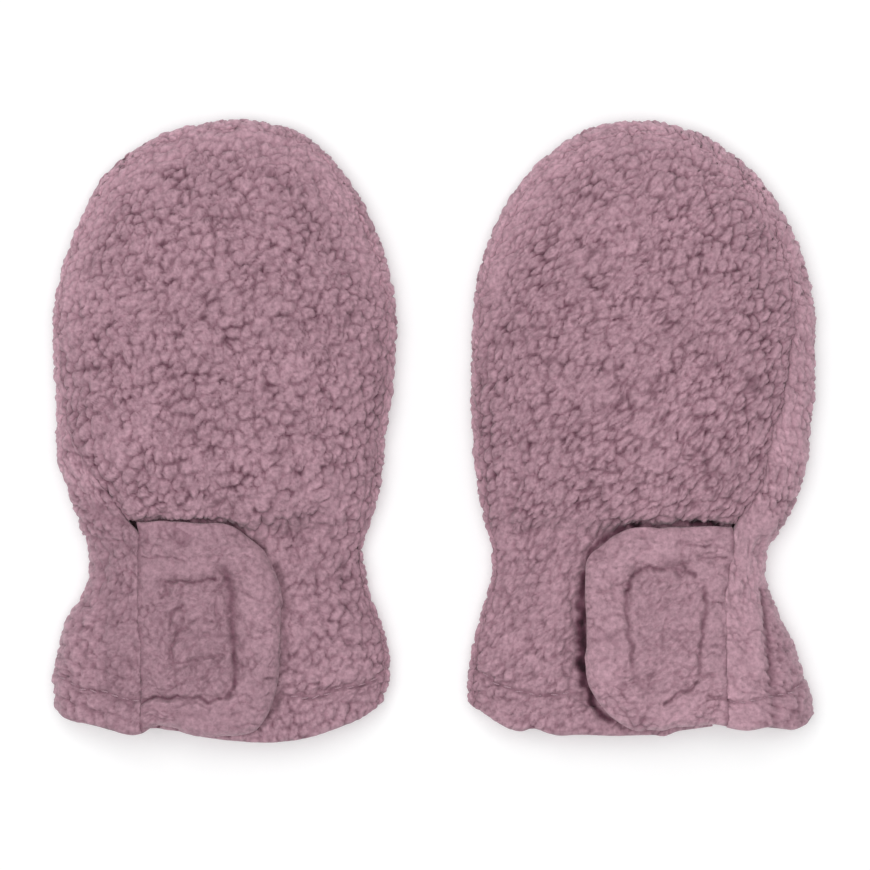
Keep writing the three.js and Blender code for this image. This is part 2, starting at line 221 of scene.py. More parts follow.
LEFT_FRONT_CREASES = (
    Crease(
        ((19.0, 46.6), (17.0, 46.5), (12.8, 46.9),
         (7.0, 46.7), (1.9, 46.7), (-2.5, 45.6)),
        0.7, 1.6, 1.0,
    ),
    Crease(((-2.5, 45.6), (-5.8, 43.9), (-8.6, 41.9)), 0.6, 1.3, 0.9),
    Crease(((-11.6, 38.4), (-12.9, 34.0), (-13.4, 29.6), (-13.6, 22.0), (-13.2, 16.5)), 0.9, 0.9, 0.55),
    Crease(((-13.0, 12.0), (-11.6, 8.0), (-9.4, 5.0), (-6.0, 3.2)), 0.8, 1.2, 0.7),
    Crease(((-27.6, 35.2), (-24.6, 35.6), (-21.5, 34.4)), 0.6, 0.7, 0.6),
    Crease(((-8.4, 46.0), (-10.2, 50.0), (-13.4, 53.6)), 0.6, 0.6, 0.55),
    Crease(((-14.6, 39.6), (-17.4, 44.0), (-21.0, 47.6)), 0.6, 0.6, 0.5),
    Crease(((8.6, 55.0), (11.4, 60.4), (12.6, 66.0)), 0.7, 0.5, 0.4),
)
RIGHT_FRONT_CREASES = (
    Crease(
        ((20.3, 46.0), (14.5, 45.8), (10.1, 46.4),
         (5.7, 45.9), (-1.6, 45.8), (-3.8, 45.6)),
        0.7, 1.6, 1.0,
    ),
    Crease(((-3.8, 45.6), (-7.5, 44.6), (-10.2, 43.0), (-12.2, 40.6), (-13.2, 36.0)), 0.8, 1.5, 1.3),
    Crease(((-13.2, 36.0), (-13.9, 30.0), (-14.2, 23.0), (-13.8, 18.0), (-12.3, 11.0)), 1.1, 1.8, 1.35),
    Crease(((-13.6, 28.0), (-13.9, 22.0), (-13.8, 16.0), (-13.0, 11.5), (-11.5, 8.4)), 1.0, 1.9, 1.75),
    Crease(((-11.5, 8.4), (-9.4, 5.8), (-7.0, 4.2)), 1.0, 1.8, 1.3),
    Crease(((-2.7, 46.0), (-1.0, 46.1)), 0.8, 1.8, 1.9),
    Crease(((10.3, 46.3), (12.1, 46.3)), 0.9, 1.8, 1.9),
    Crease(((14.3, 46.1), (16.2, 46.1)), 0.8, 1.7, 1.8),
    Crease(((-17.0, 50.0), (-19.5, 46.0), (-20.5, 40.0)), 0.6, 0.6, 0.5),
    Crease(((-27.0, 58.0), (-29.2, 52.0), (-29.6, 46.0)), 0.6, 0.7, 0.5),
    Crease(((-8.6, 49.4), (-11.0, 54.6), (-14.6, 58.6)), 0.6, 0.6, 0.5),
)
LEFT_BACK_CREASES = (
    Crease(((26.4, 36.0), (26.8, 24.0), (28.0, 13.0)), 0.8, 0.4, 0.25),
    Crease(((22.0, 47.0), (27.0, 49.6), (31.0, 50.4)), 0.7, 0.5, 0.35),
    Crease(((26.1, 17.4), (25.1, 14.5), (25.1, 10.5)), 0.5, 0.6, 0.5),
    Crease(((31.0, 20.9), (29.3, 17.4)), 0.6, 0.6, 0.5),
    Crease(((29.3, 44.1), (24.1, 43.4), (21.0, 43.0)), 0.5, 0.6, 0.5),
    Crease(((26.4, 37.7), (24.1, 42.9)), 0.5, 0.5, 0.45),
    Crease(((22.4, 31.0), (25.4, 30.2), (27.6, 27.0)), 0.5, 0.5, 0.45),
    Crease(((30.0, 30.0), (31.4, 25.4)), 0.6, 0.5, 0.4),
)
RIGHT_BACK_CREASES = (
    Crease(((26.2, 33.0), (26.9, 26.0), (27.5, 18.0), (27.9, 12.0)), 0.6, 1.3, 0.95),
    Crease(((27.9, 12.0), (28.4, 6.0), (28.8, 2.0)), 0.6, 0.7, 0.4),
)
LEFT_STRAP_CREASES = (
    Crease(((0.0, 39.7), (2.8, 39.8), (6.0, 39.4), (10.1, 39.0)), 0.33, 0.62, 0.63),
    Crease(((5.9, 33.9), (8.0, 34.5), (11.6, 35.0), (14.7, 35.6), (16.6, 35.2)), 0.4, 1.25, 1.04),
    Crease(((5.9, 33.9), (5.7, 31.7), (4.8, 30.6)), 0.44, 0.89, 0.7),
    Crease(((9.2, 29.2), (6.6, 27.1), (6.3, 24.7)), 0.44, 1.07, 0.84),
    Crease(((10.2, 25.1), (8.0, 23.6), (7.2, 20.7), (7.0, 17.6)), 0.5, 1.07, 0.84),
    Crease(((11.6, 22.7), (14.2, 23.1), (18.9, 22.9)), 0.66, 0.71, 0.49),
    Crease(((6.9, 17.4), (9.1, 17.4), (13.1, 18.5), (18.4, 18.8)), 0.44, 0.81, 0.7),
    Crease(((18.7, 36.9), (20.4, 31.0), (20.0, 26.5), (20.7, 21.4)), 1.1, 1.43, 0.91),
    Crease(((20.7, 21.4), (20.9, 14.8), (20.4, 11.2), (19.3, 9.9)), 0.61, 1.43, 1.04),
    Crease(
        ((0.3, 8.3), (4.3, 9.2), (9.4, 9.3), (12.7, 9.7),
         (14.9, 8.7), (17.5, 9.7), (19.3, 9.9)),
        0.44, 1.25, 1.04,
    ),
    Crease(((3.0, 6.5), (9.0, 5.2), (15.0, 6.0)), 0.99, 0.45, 0.28),
    Crease(((22.0, 20.0), (24.0, 22.5), (25.0, 26.0)), 0.66, 0.62, 0.49),
)
RIGHT_STRAP_CREASES = (
    Crease(((0.0, 39.3), (3.0, 39.4), (6.4, 39.4)), 0.33, 0.68, 0.76),
    Crease(((7.1, 36.6), (9.6, 37.2), (12.2, 37.3), (16.6, 37.3), (19.2, 37.0)), 0.46, 1.08, 0.93),
    Crease(((19.2, 37.0), (21.3, 35.7), (22.0, 34.6), (22.2, 32.6)), 0.5, 1.46, 1.2),
    Crease(
        ((22.2, 32.6), (22.5, 30.2), (22.3, 26.5),
         (21.8, 23.2), (21.0, 20.7), (21.1, 16.3)),
        0.61, 1.17, 0.85,
    ),
    Crease(((21.1, 16.3), (19.6, 12.6), (17.8, 10.4)), 0.66, 0.68, 0.51),
    Crease(
        ((5.2, 34.0), (4.9, 29.5), (5.4, 26.5),
         (5.8, 22.1), (6.2, 18.5), (6.0, 14.6)),
        0.55, 0.98, 0.85,
    ),
    Crease(((7.1, 12.9), (8.9, 10.9), (11.1, 10.3), (14.4, 8.4)), 0.44, 1.17, 1.01),
    Crease(((0.0, 8.2), (2.2, 8.6), (4.6, 9.3)), 0.39, 0.78, 0.68),
    Crease(((13.2, 30.6), (15.2, 28.6)), 0.5, 0.6, 0.5),
    Crease(((0.0, 20.2), (5.6, 20.4)), 0.44, 0.59, 0.51),
    Crease(((23.2, 27.6), (28.0, 26.4)), 0.55, 0.49, 0.43),
    Crease(((23.4, 34.0), (28.4, 32.2)), 0.55, 0.49, 0.34),
    Crease(((17.6, 41.6), (18.6, 44.4)), 0.55, 0.49, 0.43),
    Crease(((23.0, 14.6), (27.4, 12.4)), 0.55, 0.49, 0.34),
)


def smooth(t: Array) -> Array:
    """Eases from 0 to 1 as t does, and holds level past both."""
    c = np.clip(t, 0.0, 1.0)
    return c * c * (3 - 2 * c)


def ease(place: Array, start: float, span: float) -> Array:
    """Eases from 0 at a start to 1 a span farther on."""
    return smooth((place - start) / span)


def dip(distance: Array, width: float) -> Array:
    """Is 1 at no distance and fades out over about twice the width."""
    return np.exp(-((distance / width) ** 2))


def turned(x: Array, y: Array, degrees: float) -> tuple[Array, Array]:
    """Measures places lengthwise and sideways to a direction."""
    cos, sin = math.cos(math.radians(degrees)), math.sin(math.radians(degrees))
    return x * cos + y * sin, y * cos - x * sin


def read_table(rows: tuple[tuple[float, ...], ...], place: Array, column: int = 1) -> Array:
    """Reads a table smoothly between its rows, and level past its ends.

    Args:
        rows: The rows, each with its place first, rising.
        place: The places to read at.
        column: Which column to read.

    Returns:
        The value at each place.
    """
    table = np.array(rows, dtype=float)
    at, value = table[:, 0], table[:, column]
    before = np.maximum(np.arange(len(at)) - 1, 0)
    after = np.minimum(np.arange(len(at)) + 1, len(at) - 1)
    slope = (value[after] - value[before]) / (at[after] - at[before])
    x = np.clip(place, at[0], at[-1])
    k = np.clip(np.searchsorted(at, x, side="right") - 1, 0, len(at) - 2)
    span = at[k + 1] - at[k]
    t = (x - at[k]) / span
    bend = smooth(t)
    straight = value[k] * (1 - bend) + value[k + 1] * bend
    return straight + span * t * (1 - t) * (slope[k] * (1 - t) - slope[k + 1] * t)


@dataclass(frozen=True)
class Ripple:
    """Smooth random hills and hollows over a plane, the same on every run."""

    size: float
    seed: int
    tiles: int = 64

    def at(self, x: Array, y: Array) -> Array:
        """Reads the hills.

        Args:
            x: Places across, in millimetres.
            y: Places along, in millimetres.

        Returns:
            Heights from -1 to 1.
        """
        n = self.tiles
        lattice = np.random.default_rng(self.seed).random((n, n)) * 2 - 1
        u, v = x / self.size, y / self.size
        column, row = np.floor(u).astype(int), np.floor(v).astype(int)
        s, t = smooth(u - column), smooth(v - row)
        corners = [lattice[(row + r) % n, (column + c) % n] for r in (0, 1) for c in (0, 1)]
        low = corners[0] * (1 - s) + corners[1] * s
        high = corners[2] * (1 - s) + corners[3] * s
        return low * (1 - t) + high * t


@dataclass(frozen=True)
class Cells:
    """A jittered, leaning brick pattern of irregular cells, such as the pebbles of fleece."""

    seed: int
    width: float
    length: float
    lean: float = 0.0
    tilt: float = 0.0
    jitter: float = 0.78
    reach: float = 0.62
    tiles: int = 128

    def read(self, x: Array, y: Array) -> tuple[Array, Array, Array, Array]:
        """Finds the cell that each place lies in.

        Args:
            x: Places across, in millimetres.
            y: Places along, in millimetres.

        Returns:
            How far out of its cell's middle each place is, 0 to 1, its distances to the nearest border
            and to the nearest corner of three cells, and a random number from 0 to 1 for its cell.
        """
        u, v = (x - self.lean * y) / self.width, (y - self.tilt * x) / self.length
        chance = np.random.default_rng(self.seed).random((3, self.tiles, self.tiles))
        near, second, third = (np.full(u.shape, FAR_OFF) for _ in range(3))
        near_mark = np.zeros(u.shape)
        for row_step in (-1, 0, 1):
            row = np.floor(v).astype(int) + row_step
            shift = 0.5 * (row % 2)
            for column_step in (-1, 0, 1):
                column = np.floor(u - shift).astype(int) + column_step
                cell = (row % self.tiles, column % self.tiles)
                centre_u = column + shift + 0.5 + self.jitter * (chance[0][cell] - 0.5)
                centre_v = row + 0.5 + self.jitter * (chance[1][cell] - 0.5)
                distance = np.hypot((u - centre_u) * self.width, (v - centre_v) * self.length)
                near_mark = np.where(distance < near, chance[2][cell], near_mark)
                third = np.minimum(third, np.maximum(second, distance))
                second = np.minimum(second, np.maximum(near, distance))
                near = np.minimum(near, distance)
        out = np.minimum(near / (self.reach * self.length), 1.0)
        return out, (second - near) / 2, (third - near) / 2, near_mark


@dataclass(frozen=True)
class Nubs:
    """The relief of nubby fleece: soft pebbles with smaller lumps on them, parted by crevices."""

    seed: int
    furrow_degrees: float
    lean: float
    tilt: float
    width: float
    length: float
    wander: float = 0.9
    wander_steps: tuple[tuple[float, float], ...] = ((9.0, 1.1), (3.1, 0.6), (1.1, 0.24))
    lump_size: tuple[float, float] = (1.2, 1.4)
    felt_lump_size: tuple[float, float] = (2.3, 2.0)
    crevice: float = 0.27
    pit: float = 0.5
    dimple: float = 0.26
    felt_dimple: float = 0.3
    felt_crease: float = 0.13
    wrinkle_stretch: float = 1.8
    furrow_stretch: float = 2.4
    furrow: float = 0.085
    gap_depth: float = 0.56
    nub_depth: float = 0.38
    nub_power: float = 2.5
    step_depth: float = 0.26
    uneven_depth: float = 0.3
    pit_depth: float = 0.26
    lump_depth: float = 0.26
    dimple_depth: float = 0.24
    furrow_depth: float = 0.34
    # How much painted shade the gaps, dimples, furrows and pits between the nubs get.
    gap_dark: float = 0.54
    dimple_dark: float = 0.4
    furrow_dark: float = 0.6
    pit_dark: float = 0.4
    broad_depth: float = 0.36
    wrinkle_depth: float = 0.42
    fine_depth: float = 0.16
    felt_lump_depth: float = 0.5
    felt_dimple_depth: float = 0.36
    # Painted shade in the felt's dimples.
    felt_dimple_dark: float = 0.65
    felt_crease_depth: float = 0.42

    def hills(self, size: float, draw: Draw, x: Array, y: Array) -> Array:
        """Reads one of the mitten's own random patterns of hills, from -1 to 1."""
        return Ripple(size, self.seed + draw).at(x, y)

    def wandered(self, across: Array, along: Array) -> tuple[Array, Array]:
        """Shifts places about, so that no row of nubs runs straight and no border is sharp.

        Args:
            across: Places across the cloth, in millimetres.
            along: Places along the cloth, in millimetres.

        Returns:
            The shifted places across and along.
        """
        x, y = across, along
        for number, (size, share) in enumerate(self.wander_steps):
            draw = Draw.WANDER + 2 * number
            x = x + self.wander * share * self.hills(size, draw, across, along)
            y = y + self.wander * share * self.hills(size, draw + 1, across, along)
        return x, y

    def relief(self, across: Array, along: Array) -> tuple[Array, Array]:
        """Works out the relief over the flat cloth.

        Args:
            across: Places across the cloth, in millimetres.
            along: Places along the cloth, in millimetres.

        Returns:
            How far each place lies below the tallest nubs, and how much painted shade it gets in a
            crevice, 0 to 1.
        """
        x, y = self.wandered(across, along)
        nub = Cells(self.seed + Draw.NUB, self.width, self.length, self.lean, self.tilt)
        out, from_border, from_corner, mark = nub.read(x, y)
        open_here = np.clip(0.68 + 0.75 * self.hills(1.9, Draw.OPEN_GAP, across, along), 0.1, 1)
        gap = dip(from_border, self.crevice) * open_here
        pit = dip(from_corner, self.pit) * ease(self.hills(3.0, Draw.PIT, along, across), -0.2, 1.2)
        lump = Cells(self.seed + Draw.LUMP, *self.lump_size, self.lean, self.tilt)
        lump_out, lump_border, _, lump_mark = lump.read(x, y)
        dimple = dip(lump_border, self.dimple) * lump_mark
        uneven = 0.5 + 0.5 * self.hills(5.0, Draw.UNEVEN, across, along)
        furrow = self.furrows(x, y, across, along)
        below = self.gap_depth * gap + self.nub_depth * out**self.nub_power + self.step_depth * mark
        below = below + self.uneven_depth * uneven + self.pit_depth * pit
        below = below + self.lump_depth * lump_out**2 + self.dimple_depth * dimple
        # Painted shade in the gaps, dimples, furrows and pits.
        dark = np.maximum(self.gap_dark * gap + self.dimple_dark * dimple, self.furrow_dark * furrow)
        return below + self.furrow_depth * furrow, np.clip(dark + self.pit_dark * pit, 0, 1)

    def furrows(self, x: Array, y: Array, across: Array, along: Array) -> Array:
        """Lays long wavy furrows slantwise between the nubs.

        Args:
            x: Shifted places across.
            y: Shifted places along.
            across: Places across the cloth, in millimetres.
            along: Places along the cloth, in millimetres.

        Returns:
            How far each place is into a furrow, from 0 to 1.
        """
        lengthwise, sideways = turned(x, y, self.furrow_degrees)
        level = self.hills(2.7, Draw.FURROW, lengthwise / self.furrow_stretch, sideways)
        return dip(level, self.furrow) * ease(self.hills(5.5, Draw.FURROW_HERE, across, along), -0.1, 0.4)

    def felted(self, across: Array, along: Array) -> tuple[Array, Array]:
        """The lower, finer relief where the wool is felted, with wrinkles across the mitten.

        Args:
            across: Places across the cloth, in millimetres.
            along: Places along the cloth, in millimetres.

        Returns:
            How far each place lies below the tallest lumps, and how much painted shade it gets in a
            crevice, 0 to 1.
        """
        x, y = self.wandered(across, along)
        drawn_out = x / self.wrinkle_stretch
        out, border, _, mark = Cells(self.seed + Draw.FELT_LUMP, *self.felt_lump_size).read(x, y)
        broad = self.hills(4.2, Draw.BROAD, across, along)
        wrinkles = self.hills(1.4, Draw.WRINKLE, drawn_out, y)
        fine = self.hills(0.8, Draw.FINE, across, along)
        here = ease(self.hills(3.4, Draw.FELT_LUMP_HERE, along, across), -0.6, 1.2)
        wrinkled = ease(self.hills(3.8, Draw.FELT_CREASE_HERE, across, along), -0.2, 0.5)
        crease = dip(self.hills(2.9, Draw.FELT_CREASE, drawn_out, y), self.felt_crease) * wrinkled
        dimple = dip(border, self.felt_dimple) * mark * here
        low = 0.5 + self.broad_depth * broad + self.wrinkle_depth * wrinkles + self.fine_depth * fine
        low = low + self.felt_lump_depth * out**2 * here + self.felt_crease_depth * crease
        # Painted shade in the felt's dimples and creases.
        dark = self.felt_dimple_dark * dimple + self.felt_crease_depth * crease
        return low + self.felt_dimple_depth * dimple, np.clip(dark, 0, 1)


@dataclass(frozen=True)
class MittenShape:
    """A mitten's smooth form in its own frame: X towards the strap's side, Y along it, Z up."""

    sections: tuple[Section, ...]
    folds: tuple[Fold, ...]
    hem_wave: tuple[tuple[float, float], ...]
    tip_swell: tuple[tuple[float, float], ...]
    front_creases: tuple[Crease, ...]
    back_creases: tuple[Crease, ...]
    strap_creases: tuple[Crease, ...]
    tip_lean: float
    tip_inset: float
    upper_corner: Corner
    lower_corner: Corner
    tip_start: float = 88.0
    tip_length: float = 47.0
    tip_lean_power: int = 3
    tip_inset_power: int = 8
    hem_rise: float = 8.6
    hem_rise_power: float = 3.5
    hem_rise_fade: float = 30.0
    side_height: float = 5.0
    flat_share: float = 0.87
    crown_power: float = 2.6
    crown_root: float = 1.9
    seam_gap: float = 0.07
    seam_limit: float = 0.985
    scallop_depth: float = 0.62
    scallop_seed: int = 7
    scallop_sizes: tuple[float, float] = (2.7, 6.5)
    seams_apart: float = 200.0
    hem_depth: float = 9.0
    hem_drop: float = 0.6
    stitch_dip: float = 0.7
    stitch_dip_width: float = 1.4
    slit_overlap: float = 3.0
    slit_full: float = 41.5
    slit_end: float = 45.2
    hem_wave_fade: float = 16.0
    strap_top: float = 45.8
    strap_foot: float = 0.7
    strap_from: float = 18.6
    strap_length: float = 31.4
    mark_from: float = 17.85
    mark_scale: float = 1.014

    def read(self, name: str, along: Array) -> Array:
        """Reads one column of the sections, at places along the mitten."""
        return read_table(self.sections, along, Section._fields.index(name))

    def edge(self, across: Array, along: Array) -> Array:
        """The reach to the outline, on the side that a place lies on."""
        return np.where(across > 0, self.read("strap_edge", along), self.read("far_edge", along))

    def wave(self, across: Array, along: Array) -> Array:
        """How far the hem's uneven line lifts a place along the mitten."""
        return read_table(self.hem_wave, across) * (1 - smooth(along / self.hem_wave_fade))

    def swell(self, a: Array, b: Array) -> Array:
        """How much farther out the fingertips' outline lies than a half oval, in a direction."""
        return 1 + read_table(self.tip_swell, np.degrees(np.arctan2(np.maximum(b, 0), a)))

    def plan(self, a: Array, b: Array) -> tuple[Array, Array]:
        """Carries the unit plan to the mitten's plan.

        Args:
            a: Places across, with the outline of the straight part at -1 and 1.
            b: Places along, from -1 at the hem through 0 where the tip starts to 1 at its end.

        Returns:
            The places across and along, in millimetres.
        """
        straight = self.tip_start * (1 + np.minimum(b, 0))
        rise = self.hem_rise * np.abs(a) ** self.hem_rise_power
        along = straight + rise * (1 - smooth(straight / self.hem_rise_fade))
        along = along + self.wave(a * self.edge(a, straight), straight)
        tip = b > 0
        swell = np.where(tip, self.swell(a, b), 1.0)
        along = np.where(tip, self.tip_start + self.tip_length * b * swell, along)
        lean = np.where(tip, self.tip_lean * np.maximum(b, 0) ** self.tip_lean_power, 0)
        return a * swell * self.edge(a, np.minimum(along, self.tip_start)) + lean, along

    def reach(self, across: Array, along: Array) -> Array:
        """Measures how far out places of the plan are.

        Args:
            across: Places across the mitten.
            along: Places along it.

        Returns:
            The share of the way, from 0 on the middle line to 1 on the outline.
        """
        b = np.maximum(along - self.tip_start, 0) / self.tip_length
        half = self.edge(across, np.minimum(along, self.tip_start))
        a = (across - self.tip_lean * b**self.tip_lean_power) / half
        return np.minimum(1.0, np.hypot(a, b) / np.where(b > 0, self.swell(a, b), 1.0))

    def fall(self, reach: Array) -> Array:
        """How much of the crown's height is left, that far out."""
        return np.maximum(0, 1 - reach**self.crown_power) ** (1 / self.crown_root)

    def front_height(self, across: Array, along: Array) -> Array:
        """The front's smooth height over the surface that the mitten lies on."""
        rise = self.read("crown", along) - self.side_height
        return self.side_height + rise * self.fall(self.reach(across, along))

    def back_height(self, across: Array, along: Array) -> Array:
        """Works out the height of the back's rolled edge.

        Args:
            across: Places across the mitten.
            along: Places along it.

        Returns:
            The front's own height, but lifted on the strap's side.
        """
        fall = self.fall(self.read("seam", along) / self.read("strap_edge", along))
        at_seam = (self.read("crown", along) - self.side_height) * fall + self.read("lift", along)
        lifted = self.side_height + at_seam / fall * self.fall(self.reach(across, along))
        return np.where(across > 0, lifted, self.front_height(across, along))

    def hem_middle(self, across: Array) -> Array:
        """How far above the hem its line of stitching runs, lower beside the strap."""
        return self.hem_depth - self.hem_drop * ease(across, 0, 6) * (1 - ease(across, 22, 14))

    def pressed_in(self, across: Array, along: Array, straight: Array) -> Array:
        """Works out how deep the folds and the hem's stitching press into the upper side.

        Args:
            across: Places across the mitten.
            along: Places along it.
            straight: How far each place lies above the hem, along the cloth.

        Returns:
            The depths, in millimetres.
        """
        depth = self.stitch_dip * dip(straight - self.hem_middle(across), self.stitch_dip_width)
        for fold in self.folds:
            lengthwise, sideways = turned(across - fold.across, along - fold.along, fold.degrees)
            depth = depth + fold.depth * dip(sideways, fold.width) * dip(lengthwise, fold.length / 2)
        return depth

    def seam_share(self, a: Array, b: Array) -> Array:
        """Finds the seam in a direction.

        Args:
            a: Places across the unit plan.
            b: Places along it.

        Returns:
            Where the seam lies between the middle, 0, and the outline, 1.
        """
        along = self.plan(a, np.minimum(b, 0))[1]
        by_strap = self.read("seam", along) / self.read("strap_edge", along)
        at_seam = self.plan(a * by_strap, np.minimum(b, 0))[1]
        by_strap = self.read("seam", at_seam) / self.read("strap_edge", at_seam)
        far = 1 - self.read("far_inset", along) / self.read("far_edge", along)
        straight = np.where(a > 0, by_strap, far)
        flat = np.abs(a) / np.maximum(np.hypot(a, b), TINY)
        start = np.full_like(a, self.tip_start)
        half = self.edge(a, start)
        side_inset = np.where(a > 0, half - self.read("seam", start), self.read("far_inset", start))
        inset = self.tip_inset + (side_inset - self.tip_inset) * flat**self.tip_inset_power
        tip = 1 - inset / (half + (self.tip_length - half) * (1 - flat * flat))
        return np.minimum(np.where(b > 0, tip, straight) + self.scallop(a, b) / half, self.seam_limit)

    def scallop(self, a: Array, b: Array) -> Array:
        """Works out how far the nubs beside a seam push it out.

        Args:
            a: Places across the unit plan.
            b: Places along it.

        Returns:
            The distances, in millimetres.
        """
        round_tip = np.arctan2(np.maximum(b, 0), np.abs(a)) * self.tip_length
        along = self.tip_start * (1 + np.minimum(b, 0)) + round_tip
        side = np.sign(a) * self.seams_apart
        by_strap, by_far_side = 0.25 + 0.75 * ease(along, 45.5, 4), 0.5 + 0.3 * ease(along, 50, 8)
        small, large = self.scallop_sizes
        wave = Ripple(small, self.scallop_seed).at(along, side)
        wave = wave + 0.6 * Ripple(large, self.scallop_seed + 1).at(along, side)
        return self.scallop_depth * np.where(a > 0, by_strap, by_far_side) * wave

    def front_shortfall(self, a: Array, b: Array) -> Array:
        """How far short of the seam the front's own edge stops, in millimetres."""
        slit = 1 - ease(self.plan(a, np.minimum(b, 0))[1], self.slit_full, self.slit_end - self.slit_full)
        return self.seam_gap + np.where((a > 0) & (b <= 0), self.slit_overlap * slit, 0)

    def to_outline(self, across: Array, along: Array) -> Array:
        """Roughly how far in from the outline a place of the plan lies, in millimetres."""
        return (1 - self.reach(across, along)) * self.edge(across, np.minimum(along, self.tip_start))


def half_disc(p: Array, q: Array) -> tuple[Array, Array]:
    """Carries the unit square's upper half onto a half disc, and leaves its lower half as it is."""
    up = np.maximum(q, 0)
    return p * np.sqrt(1 - up * up / 2), np.where(q > 0, q * np.sqrt(1 - p * p / 2), q)


def rolled(distance: Array, radius: float) -> Array:
    """How far a rounded edge has turned down, at a distance in from it."""
    short = np.clip(1 - distance / radius, 0, 1)
    return radius * (1 - np.sqrt(1 - short * short))


@dataclass(frozen=True)
class Spacing:
    """Places the rows or columns of a face evenly, but closer together near both ends."""

    length: float
    crowd: float = 0.8
    reach: float = 1.2

    def share(self, even: Array) -> Array:
        """Crowds places towards both ends.

        Args:
            even: Even shares of the length, from 0 to 1.

        Returns:
            The crowded ones.
        """
        total = self.length + 2 * self.crowd
        walked = even * total
        start = self.crowd * (1 - np.exp(-walked / self.reach))
        end = self.crowd * np.exp(-(total - walked) / self.reach)
        return np.clip((walked - start - end) / self.length, 0, 1)

    def unit(self, even: Array) -> Array:
        """Crowds places of a unit square's side, from -1 to 1."""
        return 2 * self.share((even + 1) / 2) - 1


LEFT_SHAPE = MittenShape(
    sections=LEFT_SECTIONS,
    folds=LEFT_FOLDS,
    hem_wave=LEFT_HEM_WAVE,
    tip_swell=LEFT_TIP_SWELL,
    front_creases=LEFT_FRONT_CREASES,
    back_creases=LEFT_BACK_CREASES,
    strap_creases=LEFT_STRAP_CREASES,
    tip_lean=-3.0,
    tip_inset=1.6,
    upper_corner=Corner(15.0, 15.0),
    lower_corner=Corner(11.0, 17.0),
)
RIGHT_SHAPE = MittenShape(
    sections=RIGHT_SECTIONS,
    folds=RIGHT_FOLDS,
    hem_wave=RIGHT_HEM_WAVE,
    tip_swell=RIGHT_TIP_SWELL,
    front_creases=RIGHT_FRONT_CREASES,
    back_creases=RIGHT_BACK_CREASES,
    strap_creases=RIGHT_STRAP_CREASES,
    tip_lean=-1.2,
    tip_inset=2.6,
    hem_drop=2.7,
    strap_top=45.1,
    upper_corner=Corner(11.0, 7.0),
    lower_corner=Corner(13.0, 17.0),
)


@dataclass
class Relief:
    """What a fine face carries besides its smooth form: its depth, its painted crevice shade, and how
    pale it is painted, which is partly painted sheen and side light.
    """

    depth: Array
    crevice: Array
    shade: Array

    def sunk(self, depth: Array, crevice: Array) -> "Relief":
        """The relief sunk deeper, with at least a crevice's painted shade."""
        return Relief(self.depth + depth, np.maximum(self.crevice, crevice), self.shade)


def object_from(name: str, bm: bmesh.types.BMesh, smooth_faces: bool = True) -> bpy.types.Object:
    """Turns a finished bmesh into a linked object at the origin.

    Args:
        name: The object's name.
        bm: The mesh, which is freed.
        smooth_faces: Whether its faces are shaded smooth.

    Returns:
        The new object.
    """
    for face in bm.faces:
        face.smooth = smooth_faces
    mesh = bpy.data.meshes.new(name)
    bm.to_mesh(mesh)
    bm.free()
    piece = bpy.data.objects.new(name, mesh)
    bpy.context.scene.collection.objects.link(piece)
    return piece


